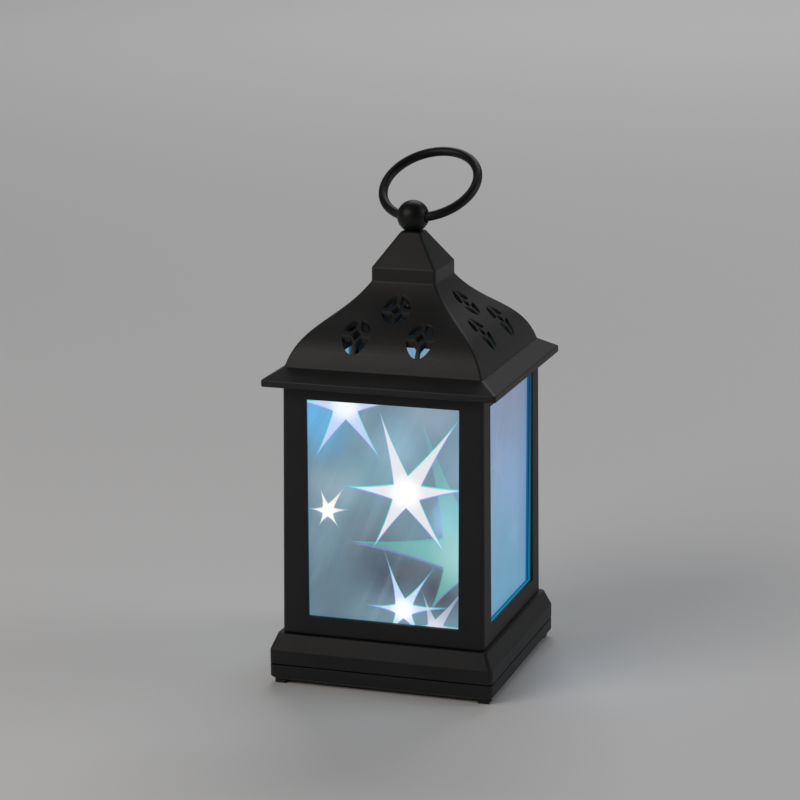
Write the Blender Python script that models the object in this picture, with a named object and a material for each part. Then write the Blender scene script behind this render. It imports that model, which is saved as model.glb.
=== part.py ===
# Decorative LED lantern: a square black plastic body with four star-effect windows, a
# bell-shaped roof with pierced rosettes, a ball finial with a swinging ring, and a plinth that
# holds three cells behind a hinged door. Metres, +Z up. The origin is the centre of the
# footprint, level with the soles of the feet. The front faces -Y.
import math

import bmesh
import bpy
from mathutils import Matrix, Vector

# Fits
FIT = 0.0003
SCREW_PLAY = 0.0003

# Feet, lid and plinth
FOOT_SIZE = 0.0055
FOOT_STANDING = 0.00195
FOOT_SOCKET = 0.0006
FOOT_INSET = 0.002
LID_HEIGHT = 0.0074
LID_FLOOR = 0.002
LID_CHAMFER = 0.00175
LID_SPIGOT_RISE = 0.0032
LID_SPIGOT_WALL = 0.0016
SEAM = 0.0005
PLINTH_WIDTH = 0.108
PLINTH_BAND = 0.00655
PLINTH_SLOPE_HEIGHT = 0.0076
PLINTH_TOP_WIDTH = 0.1018
PLINTH_WALL = 0.0022
PLINTH_OPENING = 0.072
PLINTH_CORNER = 0.0022
PLINTH_EDGE = 0.0004
FOOT_EDGE = 0.0005

# Body frame and windows
BODY_FOOT_WIDTH = 0.0976
BODY_TOP_WIDTH = 0.0955
BODY_HEIGHT = 0.118
BODY_CORNER = 0.0017
BODY_INSIDE = 0.0924
WINDOW_WIDTH = 0.0727
WINDOW_SILL = 0.00854
WINDOW_HEAD = 0.00616
PANEL_THICKNESS = 0.0012
PANEL_LAP = 0.0044
POST_LIP = 0.003
POST_JOIN = 0.0002
POST_TOP_GAP = 0.0036
GUSSET_HEIGHT = 0.0022
FLOOR_THICKNESS = 0.0015

# Roof
BRIM_WIDTH = 0.1112
BRIM_BAND = 0.003
BRIM_SLOPE = 0.005
ROOF_OPENING = 0.089
ROOF_WALL = 0.0021
BELL_FOOT_WIDTH = 0.0944
BELL_HEIGHT = 0.03575
BELL_FOOT_STEEPNESS = math.radians(73.5)
BELL_TOP_STEEPNESS = math.radians(55.3)
BELL_CURVE = 0.01995
BELL_STEPS = 12
COLLAR_WIDTH = 0.031
COLLAR_HEIGHT = 0.00625
SPIRE_HEIGHT = 0.0155
SPIRE_TOP_WIDTH = 0.00952
SPIRE_TOP_WALL = 0.002
ROOF_CORNER = 0.0012
ROOF_EDGE = 0.0005

# Pierced rosettes of the roof, cut straight down
ROSETTE_RADIUS = 0.0065
ROSETTE_UPPER_REACH = 0.0257
ROSETTE_LOWER_REACH = 0.0377
ROSETTE_LOWER_SPREAD = 0.0153
ROSETTE_BAR = 0.0019
DIAMOND_INNER = 0.0016
DIAMOND_OUTER = 0.0027
ROSETTE_ARC_STEPS = 5

# Finial ball and ring
BALL_DIAMETER = 0.015
BALL_FLAT_WIDTH = 0.0078
FINIAL_TURN = math.radians(-8.6)
RING_RADIUS = 0.02274
RING_THICKNESS = 0.0043
RING_LEAN = math.radians(56.0)
RING_REACH_IN = 0.006
RING_STEPS = 34
RING_SIDES = 12
RING_PIN_DIAMETER = 0.0024
RING_PIN_DEPTH = 0.0028
RING_SOCKET_PLAY = 0.0007

# Screws: head width, head height, shank width, length under the head
FINIAL_SCREW = (0.0056, 0.0018, 0.0028, 0.0085)
ROOF_SCREW = (0.0052, 0.0017, 0.0026, 0.0095)
BODY_SCREW = (0.0052, 0.0017, 0.0026, 0.0095)
LID_SCREW = (0.0052, 0.0017, 0.0026, 0.009)
BOARD_SCREW = (0.0038, 0.0012, 0.0018, 0.0042)
SCREW_RECESS = 0.55
BOSS_WALL = 0.0019
FINIAL_WASHER = (0.0076, 0.0006)
BODY_SCREW_INSET = 0.0044
ROOF_SCREW_INSET = 0.011
LID_SCREW_SET_OUT = 0.0045
LID_SCREW_SPREAD = 0.03

# Cells and their compartment
CELL_DIAMETER = 0.0105
CELL_LENGTH = 0.0436
CELL_NUB = (0.0038, 0.0009)
CELL_GAP = 0.0006
CELL_COUNT = 3
CELL_LIFT = 0.00045
CELL_EDGE = 0.0005
BOX_WALL = 0.0015
BOX_HEADROOM = 0.0006
DOOR_LEDGE = 0.0012
CONTACT_THICKNESS = 0.0005
CONTACT_HEIGHT = 0.0088
CONTACT_BUMP = (0.0036, 0.0006)
SPRING_LENGTH = 0.0046
SPRING_WIRE = 0.0008
SPRING_FOOT_WIDTH = 0.0072
SPRING_TIP_WIDTH = 0.0036
SPRING_TURNS = 3
SPRING_POINTS_A_TURN = 8
SPRING_SIDES = 6

# Battery door
DOOR_THICKNESS = 0.002
DOOR_MARGIN = 0.0026
HINGE_RISE = 0.0014
HINGE_PIN_DIAMETER = 0.0014
HINGE_PIN_LENGTH = 0.0018
LATCH_WIDTH = 0.012
LATCH_THICKNESS = 0.0012
LATCH_RISE = 0.0052
LATCH_PLAY = 0.0009
FINGER_NOTCH = (0.013, 0.0042, 0.0013)

# Switch and board
SWITCH_TRAVEL = 0.004
SWITCH_BODY = (0.0086, 0.0044, 0.0036)
SWITCH_KNOB = (0.0034, 0.0026)
SWITCH_KNOB_SINK = 0.0004
SWITCH_KNOB_RISE = 0.0009
SWITCH_KNOB_RIBS = 3
SWITCH_STEM = (0.0016, 0.0012)
SWITCH_STEM_REACH = 0.0012
BOARD_SIZE = (0.03, 0.013, 0.0012)
BOARD_SCREW_PLACE = 0.0125
CHIP_SIZE = (0.005, 0.004, 0.0014)

# Light string and its post
POST_DIAMETER = 0.007
POST_HEADROOM = 0.013
POST_SOCKET_WALL = 0.0018
POST_SOCKET_HEIGHT = 0.006
STRING_DIAMETER = 0.0012
STRING_STEPS = 3
FLOOR_HOLE_DIAMETER = 0.0046
STRING_HOLE_PLACE = (0.010, -0.0236)
BEAD_DIAMETER = 0.0046
BEAD_LENGTH = 0.005
BEAD_PLAY = 0.0004
BEAD_STRAIGHT = 0.0032
LEAD_DIAMETER = 0.0012
LEAD_SLACK = 0.002
LEAD_RISE = 0.0035
LEAD_STEPS = 3
STRING_PAD = (0.0075, 0.0022)
# Route of the light string above the chamber floor, True where a light sits on it
STRING_ROUTE = [
    (0.0130, -0.0215, 0.0030, False),
    (0.0185, -0.0190, 0.0060, True),
    (0.0090, -0.0125, 0.0068, False),
    (-0.0009, -0.0140, 0.0060, True),
    (-0.0130, -0.0085, 0.0110, False),
    (-0.0190, 0.0060, 0.0190, True),
    (-0.0100, 0.0170, 0.0270, False),
    (0.0060, 0.0200, 0.0350, True),
    (0.0200, 0.0100, 0.0420, False),
    (0.0250, -0.0060, 0.0490, True),
    (0.0140, -0.0150, 0.0560, False),
    (-0.0021, -0.0080, 0.0590, True),
    (-0.0190, -0.0150, 0.0580, False),
    (-0.0330, -0.0245, 0.0540, True),
    (-0.0280, 0.0010, 0.0640, False),
    (-0.0160, 0.0180, 0.0720, True),
    (0.0040, 0.0220, 0.0780, False),
    (0.0220, 0.0160, 0.0840, True),
    (0.0210, -0.0050, 0.0890, False),
    (0.0000, -0.0170, 0.0940, False),
    (-0.0290, -0.0140, 0.0980, True),
    (-0.0150, -0.0020, 0.1020, False),
]

ROUND_SIDES = 18
SMALL_SIDES = 10
SMOOTH_ANGLE = math.radians(32)
ALONG_X = Vector((1, 0, 0))

# Heights, from the soles of the feet up
LID_BOTTOM = FOOT_STANDING
LID_TOP = LID_BOTTOM + LID_HEIGHT
PLINTH_BOTTOM = LID_TOP + SEAM
PLINTH_SHOULDER = PLINTH_BOTTOM + PLINTH_BAND
PLINTH_TOP = PLINTH_SHOULDER + PLINTH_SLOPE_HEIGHT
BODY_BOTTOM = PLINTH_TOP + FIT
BODY_TOP = BODY_BOTTOM + BODY_HEIGHT
FLOOR_TOP = BODY_BOTTOM + FLOOR_THICKNESS
WINDOW_BOTTOM = BODY_BOTTOM + WINDOW_SILL
WINDOW_TOP = BODY_TOP - WINDOW_HEAD
PANEL_BOTTOM = FLOOR_TOP + FIT
PANEL_TOP = BODY_TOP - FIT
POST_TOP = BODY_TOP - POST_TOP_GAP
ROOF_BOTTOM = BODY_TOP + FIT
BRIM_SHOULDER = ROOF_BOTTOM + BRIM_BAND
BELL_BOTTOM = BRIM_SHOULDER + BRIM_SLOPE
BELL_TOP = BELL_BOTTOM + BELL_HEIGHT
COLLAR_TOP = BELL_TOP + COLLAR_HEIGHT
SPIRE_TOP = COLLAR_TOP + SPIRE_HEIGHT
BALL_SEAT = SPIRE_TOP + FIT
BALL_CENTRE = BALL_SEAT + math.sqrt((BALL_DIAMETER / 2) ** 2 - (BALL_FLAT_WIDTH / 2) ** 2)

# Places that several pieces share
PANEL_FACE = BODY_INSIDE / 2 - FIT
PANEL_BACK = PANEL_FACE - PANEL_THICKNESS
PANEL_HALF = WINDOW_WIDTH / 2 + PANEL_LAP
POST_EDGE = PANEL_HALF + FIT
POST_HEIGHT = BODY_HEIGHT - POST_HEADROOM
BODY_SCREW_PLACE = BODY_INSIDE / 2 - BODY_SCREW_INSET
ROOF_SCREW_PLACE = BODY_INSIDE / 2 - ROOF_SCREW_INSET
LID_SCREW_PLACE = (PLINTH_OPENING / 2 + LID_SCREW_SET_OUT, LID_SCREW_SPREAD)
CELL_PITCH = CELL_DIAMETER + CELL_GAP
CELL_AXIS = LID_BOTTOM + DOOR_THICKNESS + CELL_LIFT + CELL_DIAMETER / 2
BOX_TOP_INSIDE = CELL_AXIS + CELL_DIAMETER / 2 + BOX_HEADROOM
BOX_HALF_X = CELL_COUNT * CELL_PITCH / 2 + FIT
BOX_HALF_Y = (CELL_LENGTH + CELL_NUB[1] + 2 * CONTACT_THICKNESS + 4 * FIT) / 2 + SPRING_LENGTH / 2
DOOR_HALF_X = BOX_HALF_X + DOOR_MARGIN
DOOR_HALF_Y = BOX_HALF_Y + DOOR_MARGIN
HINGE_Y = DOOR_HALF_Y - HINGE_RISE
HINGE_Z = LID_BOTTOM + HINGE_RISE
LID_FLOOR_TOP = LID_BOTTOM + LID_FLOOR
LID_SPIGOT = PLINTH_WIDTH / 2 - PLINTH_WALL - FIT
LID_HOLLOW = LID_SPIGOT - LID_SPIGOT_WALL
LATCH_WELL_FRONT = -DOOR_HALF_Y - LATCH_PLAY
SWITCH_PLACE = (LATCH_WELL_FRONT - BOX_WALL - LID_HOLLOW) / 2
SWITCH_KNOB_TOP = LID_FLOOR_TOP + SWITCH_KNOB_RISE
SWITCH_BODY_BOTTOM = SWITCH_KNOB_TOP + FIT
BOARD_BOTTOM = SWITCH_BODY_BOTTOM + SWITCH_BODY[2] + FIT
BOARD_TOP = BOARD_BOTTOM + BOARD_SIZE[2]


def clear_scene():
    for obj in list(bpy.data.objects):
        bpy.data.objects.remove(obj, do_unlink=True)


def finish(name, colour, roughness, metallic=0.0, transmission=0.0):
    material = bpy.data.materials.new(name)
    material.use_nodes = True
    shader = material.node_tree.nodes["Principled BSDF"]
    shader.inputs["Base Color"].default_value = (*colour, 1.0)
    shader.inputs["Roughness"].default_value = roughness
    shader.inputs["Metallic"].default_value = metallic
    shader.inputs["Transmission Weight"].default_value = transmission
    material.diffuse_color = (*colour, 1.0)
    return material


def build(name, bm, material=None):
    bmesh.ops.recalc_face_normals(bm, faces=bm.faces)
    mesh = bpy.data.meshes.new(name)
    bm.to_mesh(mesh)
    bm.free()
    obj = bpy.data.objects.new(name, mesh)
    bpy.context.scene.collection.objects.link(obj)
    if material:
        mesh.materials.append(material)
    return obj


def combine(obj, operation, bm):
    """Cuts the shape in bm from obj, or joins it on."""
    tool = build("tool", bm)
    modifier = obj.modifiers.new("Combine", "BOOLEAN")
    modifier.operation = operation
    modifier.solver = "EXACT"
    modifier.object = tool
    bpy.context.view_layer.update()
    graph = bpy.context.evaluated_depsgraph_get()
    result = bpy.data.meshes.new_from_object(obj.evaluated_get(graph))
    result.name = obj.name
    obj.modifiers.clear()
    plain = obj.data
    obj.data = result
    bpy.data.meshes.remove(plain)
    bpy.data.objects.remove(tool, do_unlink=True)


def cut(obj, bm):
    combine(obj, "DIFFERENCE", bm)


def join(obj, bm):
    combine(obj, "UNION", bm)


def square_section(half, corner, z):
    """A square with rounded corners, counter-clockwise seen from above."""
    steps = 3
    points = []
    for quarter in range(4):
        start = quarter * math.pi / 2
        centre = Matrix.Rotation(start, 3, "Z") @ Vector((half - corner, half - corner, 0))
        for step in range(steps + 1):
            angle = start + step / steps * math.pi / 2
            points.append(centre + Vector((corner * math.cos(angle), corner * math.sin(angle), z)))
    return points


def add_loft(bm, sections):
    rings = [[bm.verts.new(point) for point in section] for section in sections]
    bm.faces.new(list(reversed(rings[0])))
    bm.faces.new(rings[-1])
    for lower, upper in zip(rings, rings[1:]):
        for i in range(len(lower)):
            j = (i + 1) % len(lower)
            bm.faces.new((lower[i], lower[j], upper[j], upper[i]))


def add_box(bm, low, high):
    low, high = Vector(low), Vector(high)
    place = Matrix.Translation((low + high) / 2) @ Matrix.Diagonal((high - low).to_4d())
    bmesh.ops.create_cube(bm, size=1.0, matrix=place)


def add_rod(bm, radius, start, end, sides=ROUND_SIDES, end_radius=None):
    start, end = Vector(start), Vector(end)
    axis = end - start
    turn = axis.to_track_quat("Z", "Y").to_matrix().to_4x4()
    bmesh.ops.create_cone(
        bm,
        cap_ends=True,
        segments=sides,
        radius1=radius,
        radius2=radius if end_radius is None else end_radius,
        depth=axis.length,
        matrix=Matrix.Translation((start + end) / 2) @ turn,
    )


def add_prism(bm, outline, low, high):
    add_loft(bm, [[Vector((x, y, z)) for x, y in outline] for z in (low, high)])


def add_turned(bm, profile, place, sides=ROUND_SIDES, closed=False):
    """Turns (radius, height) points about place's Z. An open profile is capped at its ends."""
    rings = []
    for radius, height in profile:
        count = sides if radius > 0 else 1
        angles = [2 * math.pi * i / count for i in range(count)]
        rings.append(
            [
                bm.verts.new(place @ Vector((radius * math.cos(a), radius * math.sin(a), height)))
                for a in angles
            ]
        )
    pairs = list(zip(rings, rings[1:]))
    if closed:
        pairs.append((rings[-1], rings[0]))
    for lower, upper in pairs:
        for i in range(sides):
            j = (i + 1) % sides
            corners = [lower[i % len(lower)], lower[j % len(lower)]]
            corners += [upper[j % len(upper)], upper[i % len(upper)]]
            bm.faces.new(list(dict.fromkeys(corners)))
    if not closed:
        for ring in (rings[0], rings[-1]):
            if len(ring) > 1:
                bm.faces.new(ring)


def add_tube(bm, path, radius, sides):
    """A round bar along a path of points, with flat ends."""
    path = [Vector(point) for point in path]
    ahead = [(b - a).normalized() for a, b in zip(path, path[1:])]
    tangents = [ahead[0]] + [(a + b).normalized() for a, b in zip(ahead, ahead[1:])] + [ahead[-1]]
    across = tangents[0].orthogonal().normalized()
    sections = []
    for point, tangent in zip(path, tangents):
        across = (across - tangent * across.dot(tangent)).normalized()
        other = tangent.cross(across)
        section = []
        for i in range(sides):
            angle = 2 * math.pi * i / sides
            section.append(point + radius * (math.cos(angle) * across + math.sin(angle) * other))
        sections.append(section)
    add_loft(bm, sections)


def smooth_route(points, steps, straight=()):
    """A Catmull-Rom curve through the points, with that many steps between each pair. The
    stretches whose numbers are in straight keep only their ends."""
    points = [Vector(p) for p in points]
    padded = [2 * points[0] - points[1]] + points + [2 * points[-1] - points[-2]]
    route = []
    for number, (a, b, c, d) in enumerate(zip(padded, padded[1:], padded[2:], padded[3:])):
        count = 1 if number in straight else steps
        for step in range(count):
            t = step / count
            bend = (2 * a - 5 * b + 4 * c - d) * t * t + (3 * b - a - 3 * c + d) * t**3
            route.append(0.5 * (2 * b + (c - a) * t + bend))
    return route + [points[-1]]


def wire(name, route, diameter, material):
    curve = bpy.data.curves.new(name, "CURVE")
    curve.dimensions = "3D"
    curve.bevel_depth = diameter / 2
    curve.bevel_resolution = 1
    curve.use_fill_caps = True
    spline = curve.splines.new("POLY")
    spline.points.add(len(route) - 1)
    for point, place in zip(spline.points, route):
        point.co = (*place, 1.0)
    curve.materials.append(material)
    obj = bpy.data.objects.new(name, curve)
    bpy.context.scene.collection.objects.link(obj)
    return obj


def corner_places(x, y):
    return [(sx * x, sy * y) for sx, sy in ((1, 1), (-1, 1), (-1, -1), (1, -1))]


def screw(name, place, seat, sizes, material, upward=True):
    """A pan-head screw with its head's flat side at the seat height, and a crossed recess."""
    head_width, head_height, shank_width, length = sizes
    turn = Matrix.Identity(4) if upward else Matrix.Rotation(math.pi, 4, "X")
    at = Matrix.Translation((*place, seat)) @ turn
    head, shank = head_width / 2, shank_width / 2
    bm = bmesh.new()
    profile = [
        (head * 0.6, -head_height),
        (head, -head_height * 0.5),
        (head, 0),
        (shank, 0),
        (shank, length * 0.85),
        (shank * 0.4, length),
    ]
    add_turned(bm, profile, at, SMALL_SIDES)
    obj = build(name, bm, material)
    arm, width, depth = head * 0.5, head * 0.12, head_height * SCREW_RECESS
    outline = []
    for quarter in range(4):
        turned = Matrix.Rotation(quarter * math.pi / 2, 2)
        outline += [turned @ Vector(p) for p in ((width, width), (width, arm), (-width, arm))]
    bm = bmesh.new()
    add_prism(bm, outline, -head_height * 1.5, -head_height + depth)
    bmesh.ops.transform(bm, matrix=at, verts=bm.verts)
    cut(obj, bm)
    return obj


def shank_hole(sizes):
    return sizes[2] / 2 + SCREW_PLAY


def bell_profile(offset):
    """Half widths and heights down one face of the bell, moved inwards by the offset."""
    foot = Vector((BELL_FOOT_WIDTH / 2, BELL_BOTTOM))
    top = Vector((COLLAR_WIDTH / 2, BELL_TOP))
    steep = Vector((math.cos(BELL_FOOT_STEEPNESS), -math.sin(BELL_FOOT_STEEPNESS)))
    slack = Vector((math.cos(BELL_TOP_STEEPNESS), -math.sin(BELL_TOP_STEEPNESS)))
    a, b, c, d = foot, foot - BELL_CURVE * steep, top + BELL_CURVE * slack, top
    points = []
    for step in range(BELL_STEPS + 1):
        t = step / BELL_STEPS
        s = 1 - t
        point = s**3 * a + 3 * s * s * t * b + 3 * s * t * t * c + t**3 * d
        along = (s * s * (b - a) + 2 * s * t * (c - b) + t * t * (d - c)).normalized()
        points.append(point + offset * Vector((-along.y, along.x)))
    return points


def petal_outline(quarter):
    """One of a rosette's four petals, between its diamond, two bars and the rim."""
    bar = ROSETTE_BAR / 2
    diamond = DIAMOND_OUTER * math.sqrt(2)
    first = math.asin(bar / ROSETTE_RADIUS)
    points = [Vector((bar, diamond - bar)), Vector((diamond - bar, bar))]
    for step in range(ROSETTE_ARC_STEPS + 1):
        angle = first + step / ROSETTE_ARC_STEPS * (math.pi / 2 - 2 * first)
        points.append(ROSETTE_RADIUS * Vector((math.cos(angle), math.sin(angle))))
    turned = Matrix.Rotation(quarter * math.pi / 2, 2)
    return [turned @ point for point in points]


def roof_shell(material):
    edge = ROOF_EDGE
    half = BRIM_WIDTH / 2
    outer = [
        (half - edge, ROOF_BOTTOM),
        (half, ROOF_BOTTOM + edge),
        (half, BRIM_SHOULDER - edge),
        (half - edge, BRIM_SHOULDER),
    ]
    outer += [(p.x, p.y) for p in bell_profile(0)]
    outer += [
        (COLLAR_WIDTH / 2, COLLAR_TOP - edge),
        (COLLAR_WIDTH / 2 - edge * 0.7, COLLAR_TOP),
        (SPIRE_TOP_WIDTH / 2, SPIRE_TOP),
    ]
    bm = bmesh.new()
    add_loft(bm, [square_section(h, min(ROOF_CORNER, h / 4), z) for h, z in outer])
    shell = build("roof_shell", bm, material)

    spire_lean = (COLLAR_WIDTH - SPIRE_TOP_WIDTH) / 2 / SPIRE_HEIGHT
    spire_inset = ROOF_WALL * math.hypot(1, spire_lean)
    inside = [(ROOF_OPENING / 2, ROOF_BOTTOM - ROOF_WALL)]
    bell = [p for p in bell_profile(ROOF_WALL) if p.x < ROOF_OPENING / 2]
    inside.append((ROOF_OPENING / 2, bell[0].y - (ROOF_OPENING / 2 - bell[0].x)))
    inside += [(p.x, p.y) for p in bell]
    collar_inside = COLLAR_WIDTH / 2 - ROOF_WALL
    inside.append((collar_inside, bell[-1].y + (bell[-1].x - collar_inside)))
    inside.append((collar_inside, COLLAR_TOP))
    ceiling = SPIRE_TOP - SPIRE_TOP_WALL
    inside.append((SPIRE_TOP_WIDTH / 2 + SPIRE_TOP_WALL * spire_lean - spire_inset, ceiling))
    bm = bmesh.new()
    add_loft(bm, [square_section(h, min(ROOF_CORNER, h / 4), z) for h, z in inside])
    cut(shell, bm)

    boss_radius = shank_hole(ROOF_SCREW) + BOSS_WALL
    boss_top = bell_height_at(ROOF_SCREW_PLACE + boss_radius) - ROOF_WALL * 0.4
    bm = bmesh.new()
    for x, y in corner_places(ROOF_SCREW_PLACE, ROOF_SCREW_PLACE):
        add_rod(bm, boss_radius, (x, y, POST_TOP + FIT), (x, y, boss_top))
    join(shell, bm)

    bm = bmesh.new()
    for x, y in corner_places(ROOF_SCREW_PLACE, ROOF_SCREW_PLACE):
        top = POST_TOP - GUSSET_HEIGHT + ROOF_SCREW[3] + FIT
        add_rod(bm, shank_hole(ROOF_SCREW), (x, y, POST_TOP - FIT), (x, y, top), SMALL_SIDES)
    add_rod(bm, shank_hole(FINIAL_SCREW), (0, 0, ceiling - FIT), (0, 0, BALL_SEAT), SMALL_SIDES)
    cut(shell, bm)
    cut(shell, rosette_cuts())
    return shell


def bell_height_at(half):
    """Height of the bell's outer face where it is that far from the middle."""
    points = bell_profile(0)
    for a, b in zip(points, points[1:]):
        if b.x <= half <= a.x:
            return a.y + (b.y - a.y) * (a.x - half) / (a.x - b.x)
    return BELL_BOTTOM


def rosette_cuts():
    bm = bmesh.new()
    diamond = DIAMOND_INNER * math.sqrt(2)
    centre = [Matrix.Rotation(i * math.pi / 2, 2) @ Vector((diamond, 0)) for i in range(4)]
    places = [
        (0, -ROSETTE_UPPER_REACH),
        (ROSETTE_LOWER_SPREAD, -ROSETTE_LOWER_REACH),
        (-ROSETTE_LOWER_SPREAD, -ROSETTE_LOWER_REACH),
    ]
    for face in range(4):
        turned = Matrix.Rotation(face * math.pi / 2, 2)
        for place in places:
            outlines = [petal_outline(quarter) for quarter in range(4)]
            outlines.append(centre)
            for outline in outlines:
                moved = [turned @ (Vector(place) + point) for point in outline]
                add_prism(bm, moved, BRIM_SHOULDER, COLLAR_TOP)
    return bm


def body_frame(material):
    bm = bmesh.new()
    sections = [
        square_section(BODY_FOOT_WIDTH / 2, BODY_CORNER, BODY_BOTTOM),
        square_section(BODY_TOP_WIDTH / 2, BODY_CORNER, BODY_TOP),
    ]
    add_loft(bm, sections)
    frame = build("body_frame", bm, material)

    inside = BODY_INSIDE / 2
    bm = bmesh.new()
    add_box(bm, (-inside, -inside, BODY_BOTTOM - FIT), (inside, inside, BODY_TOP + FIT))
    cut(frame, bm)

    bm = bmesh.new()
    post_inner = PANEL_HALF - POST_LIP
    behind = PANEL_BACK - FIT
    wall = inside + POST_JOIN
    outline = [
        (post_inner, post_inner),
        (behind, post_inner),
        (behind, POST_EDGE),
        (wall, POST_EDGE),
        (wall, wall),
        (POST_EDGE, wall),
        (POST_EDGE, behind),
        (post_inner, behind),
    ]
    for quarter in range(4):
        turned = Matrix.Rotation(quarter * math.pi / 2, 2)
        add_prism(bm, [turned @ Vector(p) for p in outline], FLOOR_TOP + FIT, POST_TOP)
    join(frame, bm)

    bm = bmesh.new()
    lip = post_inner + POST_LIP / 2
    reach = ROOF_SCREW_PLACE - shank_hole(ROOF_SCREW) - BOSS_WALL
    hole = ROOF_SCREW_PLACE
    outline = [(lip, reach), (lip, lip), (reach, lip), (reach, hole), (hole, reach)]
    low, high = POST_TOP - GUSSET_HEIGHT, POST_TOP - FIT / 2
    for quarter in range(4):
        turned = Matrix.Rotation(quarter * math.pi / 2, 2)
        add_prism(bm, [turned @ Vector(p) for p in outline], low, high)
    join(frame, bm)

    wide = WINDOW_WIDTH / 2
    far = BODY_FOOT_WIDTH
    for low, high in (((-wide, -far), (wide, far)), ((-far, -wide), (far, wide))):
        bm = bmesh.new()
        add_box(bm, (*low, WINDOW_BOTTOM), (*high, WINDOW_TOP))
        cut(frame, bm)

    bm = bmesh.new()
    for x, y in corner_places(BODY_SCREW_PLACE, BODY_SCREW_PLACE):
        top = PLINTH_TOP - PLINTH_WALL + BODY_SCREW[3]
        add_rod(bm, shank_hole(BODY_SCREW), (x, y, BODY_BOTTOM), (x, y, top), SMALL_SIDES)
    for x, y in corner_places(ROOF_SCREW_PLACE, ROOF_SCREW_PLACE):
        add_rod(bm, shank_hole(ROOF_SCREW), (x, y, WINDOW_TOP), (x, y, BODY_TOP), SMALL_SIDES)
    cut(frame, bm)
    return frame


def window_panels(material):
    names = ("front", "right", "back", "left")
    for quarter, side in enumerate(names):
        turned = Matrix.Rotation(quarter * math.pi / 2, 4, "Z")
        bm = bmesh.new()
        add_box(bm, (-PANEL_HALF, -PANEL_FACE, PANEL_BOTTOM), (PANEL_HALF, -PANEL_BACK, PANEL_TOP))
        bmesh.ops.transform(bm, matrix=turned, verts=bm.verts)
        build(f"window_panel_{side}", bm, material)


def plinth_shell(material):
    half, top, edge = PLINTH_WIDTH / 2, PLINTH_TOP_WIDTH / 2, PLINTH_EDGE
    bm = bmesh.new()
    sections = [
        square_section(half, PLINTH_CORNER, PLINTH_BOTTOM),
        square_section(half, PLINTH_CORNER, PLINTH_SHOULDER),
        square_section(top + edge, PLINTH_CORNER, PLINTH_TOP - edge),
        square_section(top, PLINTH_CORNER, PLINTH_TOP),
    ]
    add_loft(bm, sections)
    shell = build("plinth_shell", bm, material)

    ceiling = PLINTH_TOP - PLINTH_WALL
    lean = (half - top) / PLINTH_SLOPE_HEIGHT
    bm = bmesh.new()
    sections = [
        square_section(half - PLINTH_WALL, PLINTH_CORNER / 2, PLINTH_BOTTOM - FIT),
        square_section(half - PLINTH_WALL, PLINTH_CORNER / 2, PLINTH_SHOULDER),
        square_section(top - PLINTH_WALL + PLINTH_WALL * lean, PLINTH_CORNER / 2, ceiling),
    ]
    add_loft(bm, sections)
    cut(shell, bm)

    boss = shank_hole(LID_SCREW) + BOSS_WALL
    bm = bmesh.new()
    for x, y in corner_places(*LID_SCREW_PLACE):
        add_rod(bm, boss, (x, y, LID_TOP + FIT), (x, y, ceiling + PLINTH_WALL / 2))
    join(shell, bm)

    bm = bmesh.new()
    opening = PLINTH_OPENING / 2
    low, high = ceiling - FIT, PLINTH_TOP + FIT
    add_box(bm, (-opening, -opening, low), (opening, opening, high))
    for x, y in corner_places(BODY_SCREW_PLACE, BODY_SCREW_PLACE):
        add_rod(bm, shank_hole(BODY_SCREW), (x, y, low), (x, y, high), SMALL_SIDES)
    top = lid_screw_seat() + LID_SCREW[3] + FIT
    for x, y in corner_places(*LID_SCREW_PLACE):
        add_rod(bm, shank_hole(LID_SCREW), (x, y, LID_TOP), (x, y, top), SMALL_SIDES)
    cut(shell, bm)
    return shell


def lid_screw_seat():
    """Height of the step in the lid's screw wells that the heads bear on."""
    return LID_FLOOR_TOP + LID_SCREW[1] + FIT


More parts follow.
